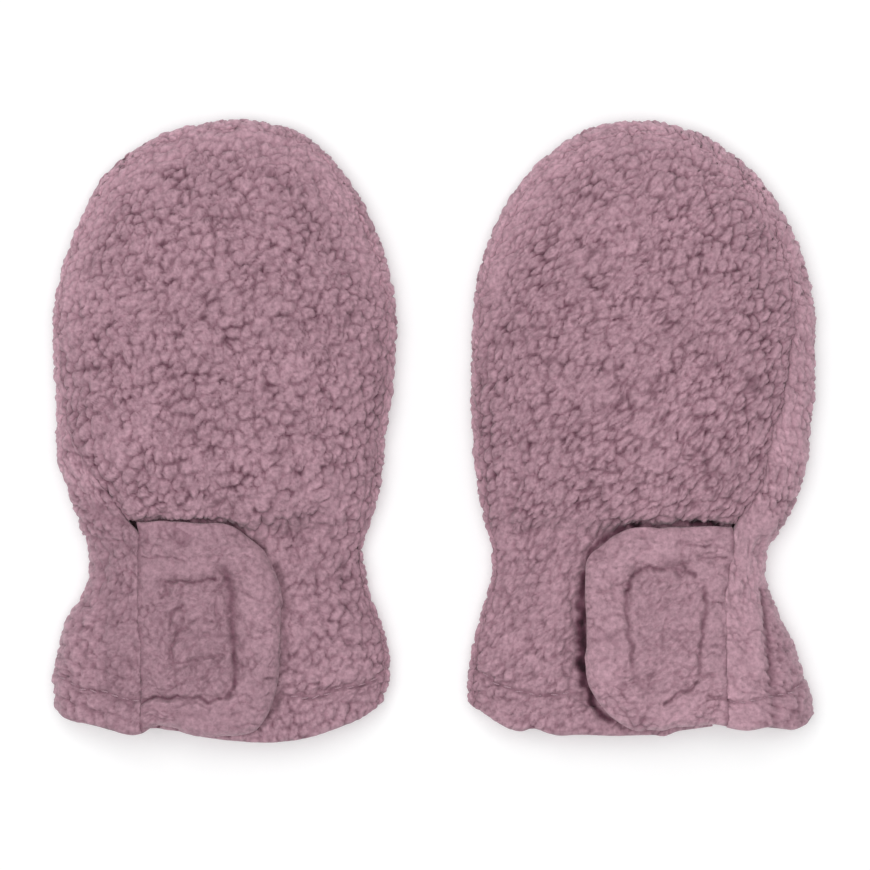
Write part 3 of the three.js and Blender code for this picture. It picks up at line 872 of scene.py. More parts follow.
@dataclass
class ClothPiece:
    """A closed wall of cloth: a fine outer face and a plain inner face, joined round their edge."""

    name: str
    outer: Surface
    relief: Callable[[Array, Array, Array], Relief]
    wall: Callable[[Array, Array], Array]
    spread: Callable[[Array, Array], tuple[Array, Array]]
    fine: tuple[int, int]
    coarse: tuple[int, int]
    outer_is_above: bool = True
    lowest: float = -FAR_OFF
    thinnest: float = 0.3
    normal_step: float = 2e-3

    def normals(self, p: Array, q: Array) -> Array:
        """Works out the outward directions of the smooth outer face.

        Args:
            p: Places across the unit square.
            q: Places along it.

        Returns:
            The directions, one to a row.
        """
        step = self.normal_step
        p_in, q_in = np.clip(p, -1 + step, 1 - step), np.clip(q, -1 + step, 1 - step)
        along_p = self.outer(p_in + step, q_in) - self.outer(p_in - step, q_in)
        along_q = self.outer(p_in, q_in + step) - self.outer(p_in, q_in - step)
        normal = np.cross(along_p, along_q)
        if not self.outer_is_above:
            normal = -normal
        return normal / np.maximum(np.linalg.norm(normal, axis=1, keepdims=True), TINY)

    def on_relief(self, p: Array, q: Array, lift: float) -> Array:
        """Finds places a little above the relief.

        Args:
            p: Places across the unit square.
            q: Places along it.
            lift: How far above, in millimetres.

        Returns:
            The points, in millimetres.
        """
        points = self.outer(p, q)
        depth = np.minimum(self.relief(p, q, points).depth, self.wall(p, q) - self.thinnest)
        return points + self.normals(p, q) * (lift - depth)[:, None]

    def face(self, bm: bmesh.types.BMesh, steps: tuple[int, int], fine: bool, place: Matrix) -> list:
        """Adds one face of the wall as a grid.

        Args:
            bm: The mesh that is being built.
            steps: The number of quads across and along.
            fine: Whether this is the outer face, with its relief, or the plain inner one.
            place: Carries the mitten's own frame, in millimetres, to the row's frame in metres.

        Returns:
            The edges round the grid's border.
        """
        verts = bmesh.ops.create_grid(bm, x_segments=steps[0], y_segments=steps[1], size=1.0)["verts"]
        flat = np.array([v.co[:2] for v in verts])
        p, q = self.spread(flat[:, 0], flat[:, 1])
        points, normals, depth = self.outer(p, q), self.normals(p, q), self.wall(p, q)
        quiet = np.zeros(len(p))
        relief = Relief(depth, quiet, quiet + MIDDLE_SHADE)
        if fine:
            relief = self.relief(p, q, points)
            depth = np.minimum(relief.depth, depth - self.thinnest)
        points = points - normals * depth[:, None]
        points[:, 2] = np.maximum(points[:, 2], self.lowest)
        matrix = np.array(place)
        world = points @ matrix[:3, :3].T + matrix[:3, 3]
        crevice = bm.verts.layers.float["crevice"]
        shade = bm.verts.layers.float["shade"]
        for vert, co, gap, tone in zip(verts, world, relief.crevice, relief.shade):
            vert.co = co
            vert[crevice] = gap
            vert[shade] = tone
        faces = {f for v in verts for f in v.link_faces}
        mirrored = place.determinant() < 0
        if (fine == self.outer_is_above) == mirrored:
            bmesh.ops.reverse_faces(bm, faces=list(faces))
        return [e for f in faces for e in f.edges if e.is_boundary]

    def build(self, place: Matrix) -> bpy.types.Object:
        """Builds the wall as an object at the origin.

        Args:
            place: Carries the mitten's own frame, in millimetres, to the row's frame in metres.

        Returns:
            The new object.
        """
        bm = bmesh.new()
        for layer in ("crevice", "shade"):
            bm.verts.layers.float.new(layer)
        border = self.face(bm, self.fine, True, place) + self.face(bm, self.coarse, False, place)
        bmesh.ops.bridge_loops(bm, edges=list(dict.fromkeys(border)))
        return object_from(self.name, bm)


class Finish:
    """A new material, with the steps that the finishes share."""

    def __init__(self, name: str, inputs: dict[str, object]) -> None:
        """Starts a material with its plain shader.

        Args:
            name: The material's name.
            inputs: The shader's values that are the same all over the surface.
        """
        self.material = bpy.data.materials.new(name)
        self.material.use_nodes = True
        self.shader = self.material.node_tree.nodes["Principled BSDF"]
        self.feed(self.shader, inputs)

    def feed(self, node: bpy.types.Node, inputs: dict[str, object]) -> None:
        """Sets or links a node's inputs.

        Args:
            node: The node.
            inputs: A value, or a socket to link, for each input by its name.
        """
        for name, given in inputs.items():
            if isinstance(given, Socket):
                self.material.node_tree.links.new(given, node.inputs[name])
            else:
                node.inputs[name].default_value = given

    def add(self, kind: str, output: str, inputs: dict[str, object], **choices: str) -> Socket:
        """Adds a node.

        Args:
            kind: Its kind, after the ShaderNode that every kind starts with.
            output: The output that is wanted.
            inputs: A value, or a socket to link, for each input by its name.
            **choices: Its other settings.

        Returns:
            The output.
        """
        node = self.material.node_tree.nodes.new("ShaderNode" + kind)
        for name, choice in choices.items():
            setattr(node, name, choice)
        self.feed(node, inputs)
        return node.outputs[output]

    def noise(self, place: Socket, size: float, detail: float) -> Socket:
        """Adds fractal noise with grains of a size in metres, from 0 to 1."""
        inputs = {"Vector": place, "Scale": 1 / size, "Detail": detail, "Roughness": 0.6}
        return self.add("TexNoise", "Fac", inputs)

    def mix(self, share: Socket, first: Socket | Colour, second: Colour) -> Socket:
        """Mixes a share of a second colour into a first, a socket or a plain colour."""
        mixed = {"A": (*first, 1.0) if isinstance(first, tuple) else first, "B": (*second, 1.0)}
        return self.add("Mix", "Result", {"Factor": share, **mixed}, data_type="RGBA")

    def tone(self, colour: Socket, pattern: Socket, amount: float) -> Socket:
        """Lightens and darkens a colour by a pattern.

        Args:
            colour: The colour to change.
            pattern: The pattern, from 0 to 1.
            amount: How far it may go each way, as a share of the colour.

        Returns:
            The toned colour.
        """
        reach = {"From Min": 0.25, "From Max": 0.75, "To Min": 1.0 - amount, "To Max": 1.0 + amount}
        spread = self.add("MapRange", "Result", {"Value": pattern, **reach})
        return self.add("VectorMath", "Vector", {"Vector": colour, "Scale": spread}, operation="SCALE")

    def done(self, colour: Socket, height: Socket, distance: float) -> bpy.types.Material:
        """Gives the shader its colour and its bump.

        Args:
            colour: The colour.
            height: The bump's pattern, from 0 to 1.
            distance: The bump's height, in metres.

        Returns:
            The material.
        """
        bump = self.add("Bump", "Normal", {"Distance": distance, "Height": height})
        self.feed(self.shader, {"Base Color": colour, "Normal": bump})
        return self.material


@dataclass(frozen=True)
class WoolFinish:
    """Matt dusty mauve wool. Its crevices, creases and seams carry painted shade, its deepest hollows a
    near-black painted shadow, and its paler and duskier parts are partly painted sheen and painted side
    light.
    """

    name: str
    pale: Colour = (0.640, 0.388, 0.464)
    dusk: Colour = (0.320, 0.191, 0.231)
    # Painted shade for crevices, creases and seam grooves, and below it the near-black painted shadow of
    # the deepest hollows.
    deep: Colour = (0.125, 0.049, 0.074)
    hollow: Colour = (0.034, 0.013, 0.020)
    sheen_tint: Colour = (0.93, 0.82, 0.86)
    patch_size: float = 0.012
    patchiness: float = 0.08
    fibre_size: float = 0.001
    fibre_tone: float = 0.3
    fibre_height: float = 0.0003

    def material(self) -> bpy.types.Material:
        """Builds the finish's node tree.

        Returns:
            The material.
        """
        matt = {"Roughness": 0.95, "Specular IOR Level": 0.12}
        sheen = {"Sheen Weight": 0.34, "Sheen Roughness": 0.45, "Sheen Tint": (*self.sheen_tint, 1.0)}
        wool = Finish(self.name, matt | sheen)
        place = wool.add("TexCoord", "Object", {})
        crevice = wool.add("Attribute", "Fac", {}, attribute_name="crevice")
        shade = wool.add("Attribute", "Fac", {}, attribute_name="shade")
        # The shade attribute mixes in painted sheen at the tips, rims and outline and painted side light
        # on the bands; the crevice attribute then paints shade into the crevices.
        colour = wool.mix(crevice, wool.mix(shade, self.dusk, self.pale), self.deep)
        # Past 1, the crevice attribute paints the near-black shadow of the deepest hollows.
        beyond = wool.add("MapRange", "Result", {"Value": crevice, "From Min": 1.0, "From Max": 1.5})
        colour = wool.mix(beyond, colour, self.hollow)
        colour = wool.tone(colour, wool.noise(place, self.patch_size, 3.0), self.patchiness)
        fibre = wool.noise(place, self.fibre_size, 4.0)
        return wool.done(wool.tone(colour, fibre, self.fibre_tone), fibre, self.fibre_height)


@dataclass(frozen=True)
class ThreadFinish:
    """Sewing thread, a little paler than the wool, with its twist showing."""

    name: str
    colour: Colour = (0.50, 0.32, 0.38)
    shaded: float = 0.72
    twist: float = 0.0009
    twist_height: float = 0.00008

    def material(self) -> bpy.types.Material:
        """Builds the finish's node tree.

        Returns:
            The material.
        """
        thread = Finish(self.name, {"Roughness": 0.6, "Specular IOR Level": 0.3})
        place = thread.add("TexCoord", "Object", {})
        inputs = {"Vector": place, "Scale": 1 / self.twist}
        strands = thread.add("TexWave", "Fac", inputs, bands_direction="DIAGONAL")
        dark = tuple(self.shaded * c for c in self.colour)
        return thread.done(thread.mix(strands, dark, self.colour), strands, self.twist_height)


@dataclass(frozen=True)
class Wool:
    """How one mitten's wool lies: its nubs, how felted its parts are, and how pale they are painted, with
    painted sheen at the tip, rims and outline and painted side light on the band.
    """

    seed: int
    furrow_degrees: float
    lean: float
    tilt: float
    nub_size: tuple[float, float]
    band_felt: float
    rim_felt: float
    cuff_felt: float
    # Painted side light on the band: a negative value paints it in shade, a positive one in light.
    band_painted_side_light: float
    strap_shade: float
    # Painted sheen at the fingertips.
    tip_painted_sheen: float = 0.28
    # Painted sheen over the rims.
    rim_painted_sheen: float = 0.25
    # Painted sheen along the outline.
    outline_painted_sheen: float = 0.3


LEFT_WOOL = Wool(
    seed=41,
    furrow_degrees=128,
    lean=-0.15,
    tilt=-0.2,
    nub_size=(2.6, 3.0),
    band_felt=0.2,
    rim_felt=0.72,
    cuff_felt=0.12,
    # The left mitten's band is painted in side shade.
    band_painted_side_light=-0.2,
    strap_shade=0.22,
)
RIGHT_WOOL = Wool(
    seed=83,
    furrow_degrees=42,
    lean=0.32,
    tilt=0.24,
    nub_size=(2.4, 2.9),
    band_felt=0.7,
    rim_felt=0.8,
    cuff_felt=0.2,
    # The right mitten's band is painted in side light.
    band_painted_side_light=0.16,
    strap_shade=0.42,
)


@dataclass
class Mitten:
    """One mitten: its front, its back and its strap, each dressed."""

    side: Side
    shape: MittenShape
    wool: Wool
    fleece: bpy.types.Material
    thread: bpy.types.Material
    pressed: float = 0.6
    stitches: int = 8
    stitch_share: float = 0.72
    stitch_lift: float = 0.03
    stitch_radius: float = 0.2
    stitch_drift: float = 0.0015
    front_stitched: tuple[float, float] = (-0.94, -0.46)
    back_stitched: tuple[float, float] = (0.76, 0.985)
    hem_line_width: float = 0.5
    hem_line_depth: float = 0.6
    # Painted shade along the hem's pressed line of stitching.
    hem_line_dark: float = 0.75
    hem_drift: float = 0.6
    hem_fine_drift: float = 0.3
    cloth: float = 2.8
    hem_cloth: float = 3.2
    border_cloth: float = 2.4
    border_width: float = 3.5
    half_width: float = 37.0
    proud: float = 0.55
    floor_clearance: float = 0.03
    front_roll: float = 1.15
    front_puff: float = 1.05
    front_puff_width: float = 3.2
    front_seam_width: float = 0.9
    back_seam_width: float = 0.7
    # Painted shade in the seam's groove.
    seam_dark: float = 0.5
    grooves_apart: float = 40.0
    back_roll: float = 0.1
    hem_roll: float = 1.5
    strap_gap: float = 0.03
    strap_clearance: float = 0.6
    strap_thickness: float = 3.4
    strap_roll: float = 2.2
    strap_seam_roll: float = 0.12
    strap_puff: float = 0.5
    strap_turn_in: float = 12.0
    strap_wobble: float = 0.7
    strap_fine_wobble: float = 0.25
    strap_aside: float = 0.5
    strap_nubs_aside: float = 60.0
    strap_sewn_width: float = 0.8
    strap_sewn_depth: float = 0.25
    # Painted shade along the strap's sewn edge.
    strap_sewn_dark: float = 0.9
    band_width: float = 8.0
    back_flat_columns: float = 0.45
    crown_stretch: float = 0.6
    side_stretch: float = 1.3
    rim_stretch: float = 0.4
    front_steps: tuple[int, int] = (214, 420)
    back_steps: tuple[int, int] = (224, 390)
    strap_steps: tuple[int, int] = (130, 200)
    front_inner_steps: tuple[int, int] = (60, 100)
    back_inner_steps: tuple[int, int] = (26, 48)
    strap_inner_steps: tuple[int, int] = (20, 30)
    nubs: Nubs = field(init=False)

    def __post_init__(self) -> None:
        """Makes the relief."""
        wool = self.wool
        self.nubs = Nubs(wool.seed, wool.furrow_degrees, wool.lean, wool.tilt, *wool.nub_size)

    def named(self, part: str) -> str:
        """The name of one of the mitten's parts."""
        return f"{self.side.name.lower()}_{part}"

    def place(self) -> Matrix:
        """Works out where this mitten's own frame lies in the row's frame, from its back's solid.

        Returns:
            The matrix from the mitten's millimetres to the row's metres.
        """
        low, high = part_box(self.named("back"))
        along = np.linspace(0, self.shape.tip_start, 400)
        widest = float(self.shape.read("strap_edge", along).max()) * MM
        middle = high.x - widest if self.side is Side.RIGHT else low.x + widest
        size = Matrix.Diagonal((self.side.value * MM, MM, MM, 1.0))
        return Matrix.Translation((middle, low.y, 0.0)) @ size

    def spread_panel(self, p: Array, q: Array) -> tuple[Array, Array]:
        """Spreads an even grid over a panel, with rows closer together at the hem and tip.

        Args:
            p: Even places across the unit square.
            q: Even places along it.

        Returns:
            The crowded places across and along.
        """
        start = self.shape.tip_start
        across = Spacing(2 * self.shape.edge(np.ones(1), np.full(1, start))[0])
        length = start + self.shape.tip_length
        walked = Spacing(length).share((q + 1) / 2) * length
        straight, tip = walked / start - 1, (walked - start) / self.shape.tip_length
        return across.unit(p), np.where(straight < 0, straight, tip)

    def spread_strap(self, p: Array, q: Array) -> tuple[Array, Array]:
        """Spreads an even grid over the strap, closer together round its edge."""
        along = Spacing(self.shape.strap_top - self.shape.strap_foot)
        return Spacing(self.shape.strap_length).unit(p), along.unit(q)

    def front_surface(self, p: Array, q: Array) -> Array:
        """Shapes the front's smooth outer face.

        Args:
            p: Places across the unit square.
            q: Places along it.

        Returns:
            The points, in millimetres.
        """
        shape = self.shape
        a, b = half_disc(p, q)
        share = shape.seam_share(a, b)
        share = share - shape.front_shortfall(a, b) / shape.edge(a, np.full_like(a, shape.tip_start))
        x, y = shape.plan(a * share, np.where(b > 0, b * share, b))
        z = shape.front_height(x, y) - shape.pressed_in(x, y, shape.tip_start * (1 + b))
        return np.stack([x, y, z], axis=1)

    def back_surface(self, p: Array, q: Array) -> Array:
        """Shapes the back's smooth outer face: flat underneath, up round the sides, over to the seam.

        Args:
            p: Places across the unit square.
            q: Places along it.

        Returns:
            The points, in millimetres.
        """
        shape = self.shape
        a, b = half_disc(p, q)
        out = self.out(a, b)
        climb = (out - self.back_flat_columns) / (1 - self.back_flat_columns)
        turn = np.clip(climb, 0, 0.5) * math.pi
        over = np.clip(2 * climb - 1, 0, 1)
        flat = shape.flat_share * np.minimum(out / self.back_flat_columns, 1)
        radius = np.where(climb <= 0, flat, shape.flat_share + (1 - shape.flat_share) * np.sin(turn))
        radius = np.where(climb > 0.5, 1 - (1 - shape.seam_share(a, b)) * over, radius)
        scale = radius / out
        x, y = shape.plan(a * scale, np.where(b > 0, b * scale, b))
        low = shape.side_height * (1 - np.cos(turn))
        pressed = shape.pressed_in(x, y, shape.tip_start * (1 + b)) * over
        z = np.where(climb > 0.5, shape.back_height(x, y) - pressed, low)
        return np.stack([x, y, z], axis=1)

    @staticmethod
    def out(a: Array, b: Array) -> Array:
        """How far out a place of the unit plan is, from just above 0 in the middle to 1."""
        return np.maximum(np.where(b > 0, np.hypot(a, b), np.abs(a)), TINY)

    def strap_inside(self, length: Array, along: Array) -> Array:
        """Measures how far inside the strap's free edges places lie.

        Args:
            length: Places along the strap, from its seam.
            along: Places along the mitten.

        Returns:
            The distances, in millimetres.
        """
        shape = self.shape
        sides = np.minimum(along - shape.strap_foot, shape.strap_top - along)
        inside = np.minimum(sides, shape.strap_length - length)
        for corner, beyond in (
            (shape.upper_corner, along - (shape.strap_top - shape.upper_corner.crosswise)),
            (shape.lower_corner, shape.strap_foot + shape.lower_corner.crosswise - along),
        ):
            into = length - (shape.strap_length - corner.lengthwise)
            oval = np.hypot(into / corner.lengthwise, beyond / corner.crosswise)
            curved = (1 - oval) * min(corner.lengthwise, corner.crosswise)
            inside = np.where((into > 0) & (beyond > 0), np.minimum(inside, curved), inside)
        return np.maximum(inside, 0)

    def strap_place(self, p: Array, q: Array) -> tuple[Array, Array]:
        """Carries the unit square to the strap.

        Args:
            p: Places across the unit square.
            q: Places along it.

        Returns:
            The places along the strap, from its seam, and along the mitten.
        """
        shape = self.shape
        length = (1 - p) / 2 * shape.strap_length
        drawn = []
        for corner in (shape.lower_corner, shape.upper_corner):
            into = np.clip((length - shape.strap_length) / corner.lengthwise + 1, 0, 1)
            drawn.append(corner.crosswise * (1 - np.sqrt(1 - into * into)))
        foot, top = shape.strap_foot + drawn[0], shape.strap_top - drawn[1]
        return length, foot + (top - foot) * (q + 1) / 2

    def strap_surface(self, p: Array, q: Array) -> Array:
        """Shapes the strap's smooth outer face, with its free edges a little uneven.

        Args:
            p: Places across the unit square.
            q: Places along it.

        Returns:
            The points, in millimetres.
        """
        shape, hills = self.shape, self.nubs.hills
        length, y = self.strap_place(p, q)
        scallop = shape.scallop(np.ones_like(y), y / shape.tip_start - 1)
        at_seam = shape.read("seam", y) + scallop - self.strap_gap
        x = at_seam + (shape.strap_from - at_seam) * smooth(length / self.strap_turn_in) - length
        inside = self.strap_inside(length, y)
        puff = self.strap_puff * np.sin(math.pi * np.clip(inside / self.band_width, 0, 1)) ** 2
        z = shape.front_height(x, y) + self.strap_clearance + self.strap_thickness + puff
        free = smooth(length / 4)
        wobble = hills(7.0, Draw.STRAP_WOBBLE, length, y) * self.strap_wobble * free
        wobble = wobble + hills(2.6, Draw.STRAP_FINE_WOBBLE, length, y) * self.strap_fine_wobble
        aside = hills(8.0, Draw.STRAP_ASIDE, length, y) * self.strap_aside * free
        return np.stack([x + aside, y + wobble + shape.wave(x, y), z], axis=1)

    def creased(self, creases: tuple[Crease, ...], x: Array, y: Array, relief: Relief) -> Relief:
        """Presses creases into a relief, and paints shade along them.

        Args:
            creases: The creases.
            x: Places across.
            y: Places along.
            relief: The relief before.

        Returns:
            The relief with the creases in it.
        """
        hills = self.nubs.hills
        fine = 0.25 * hills(0.9, Draw.CREASE_FINE_ACROSS, x, y)
        x = x + 0.4 * hills(2.1, Draw.CREASE_ACROSS, x, y) + fine
        fine = 0.25 * hills(0.9, Draw.CREASE_FINE_ALONG, x, y)
        y = y + 0.4 * hills(2.1, Draw.CREASE_ALONG, x, y) + fine
        uneven = 0.78 + 0.22 * hills(1.6, Draw.CREASE_UNEVEN, x, y)
        pressed, gap = np.zeros(x.shape), np.zeros(x.shape)
        for crease in creases:
            nearest = np.full(x.shape, FAR_OFF)
            for (x0, y0), (x1, y1) in zip(crease.points, crease.points[1:]):
                dx, dy = x1 - x0, y1 - y0
                t = np.clip(((x - x0) * dx + (y - y0) * dy) / (dx * dx + dy * dy), 0, 1)
                nearest = np.minimum(nearest, np.hypot(x - x0 - t * dx, y - y0 - t * dy))
            line = dip(nearest, crease.width) * uneven
            broad = dip(nearest, 3 * crease.width)
            pressed = np.maximum(pressed, crease.depth * (0.6 * line + 0.4 * broad))
            # Painted shade along the crease, near-black painted shadow where its dark passes 1.
            gap = np.maximum(gap, crease.dark * line)
        return relief.sunk(pressed, gap)

    def blend_relief(self, across: Array, along: Array, felt: Array, edge: Array, shade: Array) -> Relief:
        """Mixes nubs and felt, and turns the edge down.

        Args:
            across: Places across the flat cloth.
            along: Places along the flat cloth.
            felt: How felted each place is, from 0 to 1.
            edge: How deep the rolled edge lies at each place.
            shade: How pale each place is painted, from 0 to 1, partly as painted sheen and side light.

        Returns:
            The relief.
        """
        depth, gap = self.nubs.relief(across, along)
        low, shallow = self.nubs.felted(across, along)
        depth = depth * (1 - felt) + low * felt
        gap = gap * (1 - felt) ** 1.5 + shallow * felt
        return Relief(edge + depth - self.proud, gap, shade)

    @staticmethod
    def seam_distance(surface: Surface, p: Array, q: Array, points: Array) -> Array:
        """How far places of a panel lie from the panel's seam, in millimetres."""
        out = np.maximum(np.maximum(np.abs(p), q), TINY)
        return np.linalg.norm(points - surface(p / out, np.where(q > 0, q / out, q)), axis=1)

    def past_strap(self, p: Array, along: Array) -> Array:
        """Is 1 along the part of the seam that the strap leaves free, and 0 beside the strap."""
        return np.maximum(smooth((along - self.shape.strap_top + 1) / 4), p < 0)

    def sunk_seam(self, to_seam: Array, p: Array, along: Array, width: float) -> Array:
        """Paints shade into the groove that the seam pulls in between the two panels.

        Args:
            to_seam: How far each place lies from the seam.
            p: Places across the unit square.
            along: Places along the mitten.
            width: The groove's width.

        Returns:
            How much painted shade each place gets in the groove.
        """
        side = self.grooves_apart * np.sign(p)
        uneven = 0.75 + 0.25 * self.nubs.hills(3.3, Draw.SUNK_SEAM, along, side)
        strength = self.seam_dark * (1 - 0.75 * ease(along, 92, 28)) * self.past_strap(p, along)
        return strength * uneven * dip(to_seam, width)

    def edge_depth(self, q: Array, seam_edge: Array) -> Array:
        """How deep a panel's rolled edge lies, given its part at the seam, with the hem's as well."""
        to_hem = self.shape.tip_start * (1 + np.minimum(half_disc(0 * q, q)[1], 0))
        return np.maximum(seam_edge, rolled(to_hem, self.hem_roll))

    def hem_line(self, x: Array) -> Array:
        """Draws the hem's line of stitching.

        Args:
            x: Places across the mitten.

        Returns:
            How far above the hem the line runs, in millimetres.
        """
        drift = self.hem_drift * self.nubs.hills(5.0, Draw.HEM_DRIFT, x, 0 * x)
        drift = drift + self.hem_fine_drift * self.nubs.hills(1.7, Draw.HEM_FINE_DRIFT, x, 0 * x)
        return self.shape.hem_middle(x) - drift

    def hem_stitch(self, x: Array, straight: Array) -> Array:
        """How strongly the hem's line of stitching shows, from 0 to 1."""
        strength = 0.75 + 0.25 * self.nubs.hills(3.0, Draw.HEM_UNEVEN, x, straight)
        return strength * dip(straight - self.hem_line(x), self.hem_line_width)

    def cuff(self, along: Array) -> Array:
        """How felted the cuff is, at places along the mitten."""
        return self.wool.cuff_felt * (1 - ease(along, 38, 16))

    def front_relief(self, p: Array, q: Array, points: Array) -> Relief:
        """Gives the front its nubs, softer round the fingertips and along the hem's stitching.

        Args:
            p: Places across the unit square.
            q: Places along it.
            points: The points there.

        Returns:
            The relief.
        """
        shape = self.shape
        x, y = points[:, 0], points[:, 1]
        a, b = half_disc(p, q)
        out = self.out(a, b)
        fallen = np.maximum(1 - shape.fall(shape.reach(x, y)), 0)
        drop = (shape.read("crown", y) - shape.side_height) * fallen * self.crown_stretch
        across, along = x + drop * a / out, y + drop * np.maximum(b, 0) / out
        tip = ease(y, 70, 35) * (1 - ease(shape.to_outline(x, y), 1, 8))
        stitched = self.hem_stitch(x, shape.tip_start * (1 + b))
        felt = np.clip(0.5 * tip + 0.5 * stitched + self.cuff(y), 0, 1)
        to_seam = self.seam_distance(self.front_surface, p, q, points)
        puff = self.front_puff * dip(to_seam, self.front_puff_width) * self.past_strap(p, y)
        edge = self.edge_depth(q, rolled(to_seam, self.front_roll) - puff)
        covered = smooth(self.strap_inside(shape.strap_from - x, y) / 2)
        # The fingertips are painted paler: a painted sheen.
        shade = MIDDLE_SHADE + self.wool.tip_painted_sheen * tip
        relief = self.blend_relief(across, along, felt, edge + self.pressed * covered, shade)
        groove = self.sunk_seam(to_seam, p, y, self.front_seam_width)
        # Painted shade along the hem's pressed line and in the seam's groove.
        gap = np.maximum(self.hem_line_dark * stitched, groove)
        relief = relief.sunk(self.hem_line_depth * stitched, gap)
        return self.creased(shape.front_creases, x, y, relief)

    def back_relief(self, p: Array, q: Array, points: Array) -> Relief:
        """Gives the back its nubs, with a felted band beside the strap.

        Args:
            p: Places across the unit square.
            q: Places along it.
            points: The points there.

        Returns:
            The relief.
        """
        shape, wool = self.shape, self.wool
        x, y, z = points[:, 0], points[:, 1], points[:, 2]
        a, b = half_disc(p, q)
        out = self.out(a, b)
        half = shape.edge(a, np.full_like(a, shape.tip_start))
        radial = shape.reach(x, y) * half
        over = (out > (1 + self.back_flat_columns) / 2).astype(float)
        outer = half * 2 - radial + shape.side_height * self.side_stretch
        outer = outer + (z - shape.side_height) * self.rim_stretch
        unrolled = np.where(over > 0, outer, radial + z * self.side_stretch)
        across = unrolled * a / out
        along = np.where(b > 0, shape.tip_start + unrolled * b / out, y)
        from_seam = x - shape.read("seam", np.minimum(y, shape.tip_start))
        band = over * (x > 0) * (1 - ease(from_seam, self.band_width, 2))
        band = band * (1 - smooth((y - shape.strap_top - 1) / 7))
        rim = 0.3 * over * ease(y, 50, 20)
        stitched = over * self.hem_stitch(x, shape.tip_start * (1 + b))
        felt = np.maximum(np.maximum(wool.band_felt * band, rim), self.cuff(y))
        felt = np.clip(felt + 0.4 * stitched, 0, 1)
        to_seam = self.seam_distance(self.back_surface, p, q, points)
        edge = self.edge_depth(q, rolled(to_seam, self.back_roll))
        # Painted sheen, paler within about 2 mm of the outline.
        edge_sheen = wool.outline_painted_sheen * (1 - smooth((half - radial) / 2.2))
        # Painted sheen over the rims.
        # Painted side light on the band.
        shade = MIDDLE_SHADE + wool.band_painted_side_light * band + wool.rim_painted_sheen * over * ease(y, 46, 12)
        relief = self.blend_relief(across, along, felt, edge, np.minimum(shade + edge_sheen, 1))
        groove = self.sunk_seam(to_seam, p, y, self.back_seam_width)
        # Painted shade along the hem's pressed line and in the seam's groove.
        gap = np.maximum(self.hem_line_dark * stitched, groove)
        relief = relief.sunk(self.hem_line_depth * stitched, gap)
        away = np.where(over > 0, 0.0, FAR_OFF)
        return self.creased(shape.back_creases, x + away, y, relief)

    def strap_relief(self, p: Array, q: Array, points: Array) -> Relief:
        """Gives the strap its felted rim, its lower nubs over the hidden patch, and its creases.

        Args:
            p: Places across the unit square.
            q: Places along it.
            points: The points there.

        Returns:
            The relief.
        """
        length, along = self.strap_place(p, q)
        inside = self.strap_inside(length, along)
        patch = ease(inside, 8.5, 2.5) * ease(length, 5, 2)
        felt = np.clip(self.wool.rim_felt - 0.4 * patch, 0, 1)
        edge = np.maximum(rolled(inside, self.strap_roll), rolled(length, self.strap_seam_roll))
        shade = self.wool.strap_shade + 0.09 * (1 - ease(inside, 6, 4))
        relief = self.blend_relief(points[:, 0] + self.strap_nubs_aside, along, felt, edge, shade)
        uneven = 0.5 + 0.4 * self.nubs.hills(2.2, Draw.STRAP_SEAM, along, 0 * along)
        sewn = dip(length, self.strap_sewn_width) * uneven
        # Painted shade along the strap's sewn edge.
        relief = relief.sunk(self.strap_sewn_depth * sewn, self.strap_sewn_dark * sewn)
        measured = (self.shape.mark_from - points[:, 0]) * self.shape.mark_scale
        return self.creased(self.shape.strap_creases, measured, along, relief)

    def panel_wall(self, p: Array, q: Array) -> Array:
        """Works out how far the inner face lies in from a panel's smooth outer face.

        Args:
            p: Places across the unit square.
            q: Places along it.

        Returns:
            The thicknesses, in millimetres.
        """
        straight = self.shape.tip_start * (1 + np.minimum(half_disc(p, q)[1], 0))
        turned_up = 1 - smooth((straight - self.shape.hem_depth + 1) / 2)
        full = self.cloth + (self.hem_cloth - self.cloth) * turned_up
        to_seam = (1 - np.maximum(np.abs(p), q)) * self.half_width
        to_edge = np.minimum(to_seam, straight)
        return self.border_cloth + (full - self.border_cloth) * smooth(to_edge / self.border_width)

    def strap_wall(self, p: Array, q: Array) -> Array:
        """Works out how far the inner face lies in from the strap's smooth outer face.

        Args:
            p: Places across the unit square.
            q: Places along it.

        Returns:
            The thicknesses, in millimetres.
        """
        length, along = self.strap_place(p, q)
        inside = np.minimum(self.strap_inside(length, along), length)
        start = self.strap_roll + 0.4
        return start + (self.strap_thickness - start) * smooth(inside / 2.2)

    def dress(self, part: str, wall: ClothPiece) -> bpy.types.Object:
        """Builds one piece, dresses it and puts it in its solid's stead.

        Args:
            part: The piece's name in the mitten: front, back or strap.
            wall: The wall to build.

        Returns:
            The new object.
        """
        piece = wall.build(self.place())
        piece.data.materials.append(self.fleece)
        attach(piece, "root")
        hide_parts(self.named(part))
        LOG.info("%s: %d faces", piece.name, len(piece.data.polygons))
        return piece

    def walls(self) -> tuple[ClothPiece, ClothPiece, ClothPiece]:
        """Lays out the walls of the three pieces.

        Returns:
            The front's, the back's and the strap's wall.
        """
        panel = (self.panel_wall, self.spread_panel)
        front = ClothPiece(
            self.named("front_cloth"),
            self.front_surface,
            self.front_relief,
            *panel,
            fine=self.front_steps,
            coarse=self.front_inner_steps,
            lowest=self.floor_clearance,
        )
        back = ClothPiece(
            self.named("back_cloth"),
            self.back_surface,
            self.back_relief,
            *panel,
            fine=self.back_steps,
            coarse=self.back_inner_steps,
            outer_is_above=False,
            lowest=self.floor_clearance,
        )
        strap = ClothPiece(
            self.named("strap_cloth"),
            self.strap_surface,
            self.strap_relief,
            self.strap_wall,
            self.spread_strap,
            fine=self.strap_steps,
            coarse=self.strap_inner_steps,
        )
        return front, back, strap

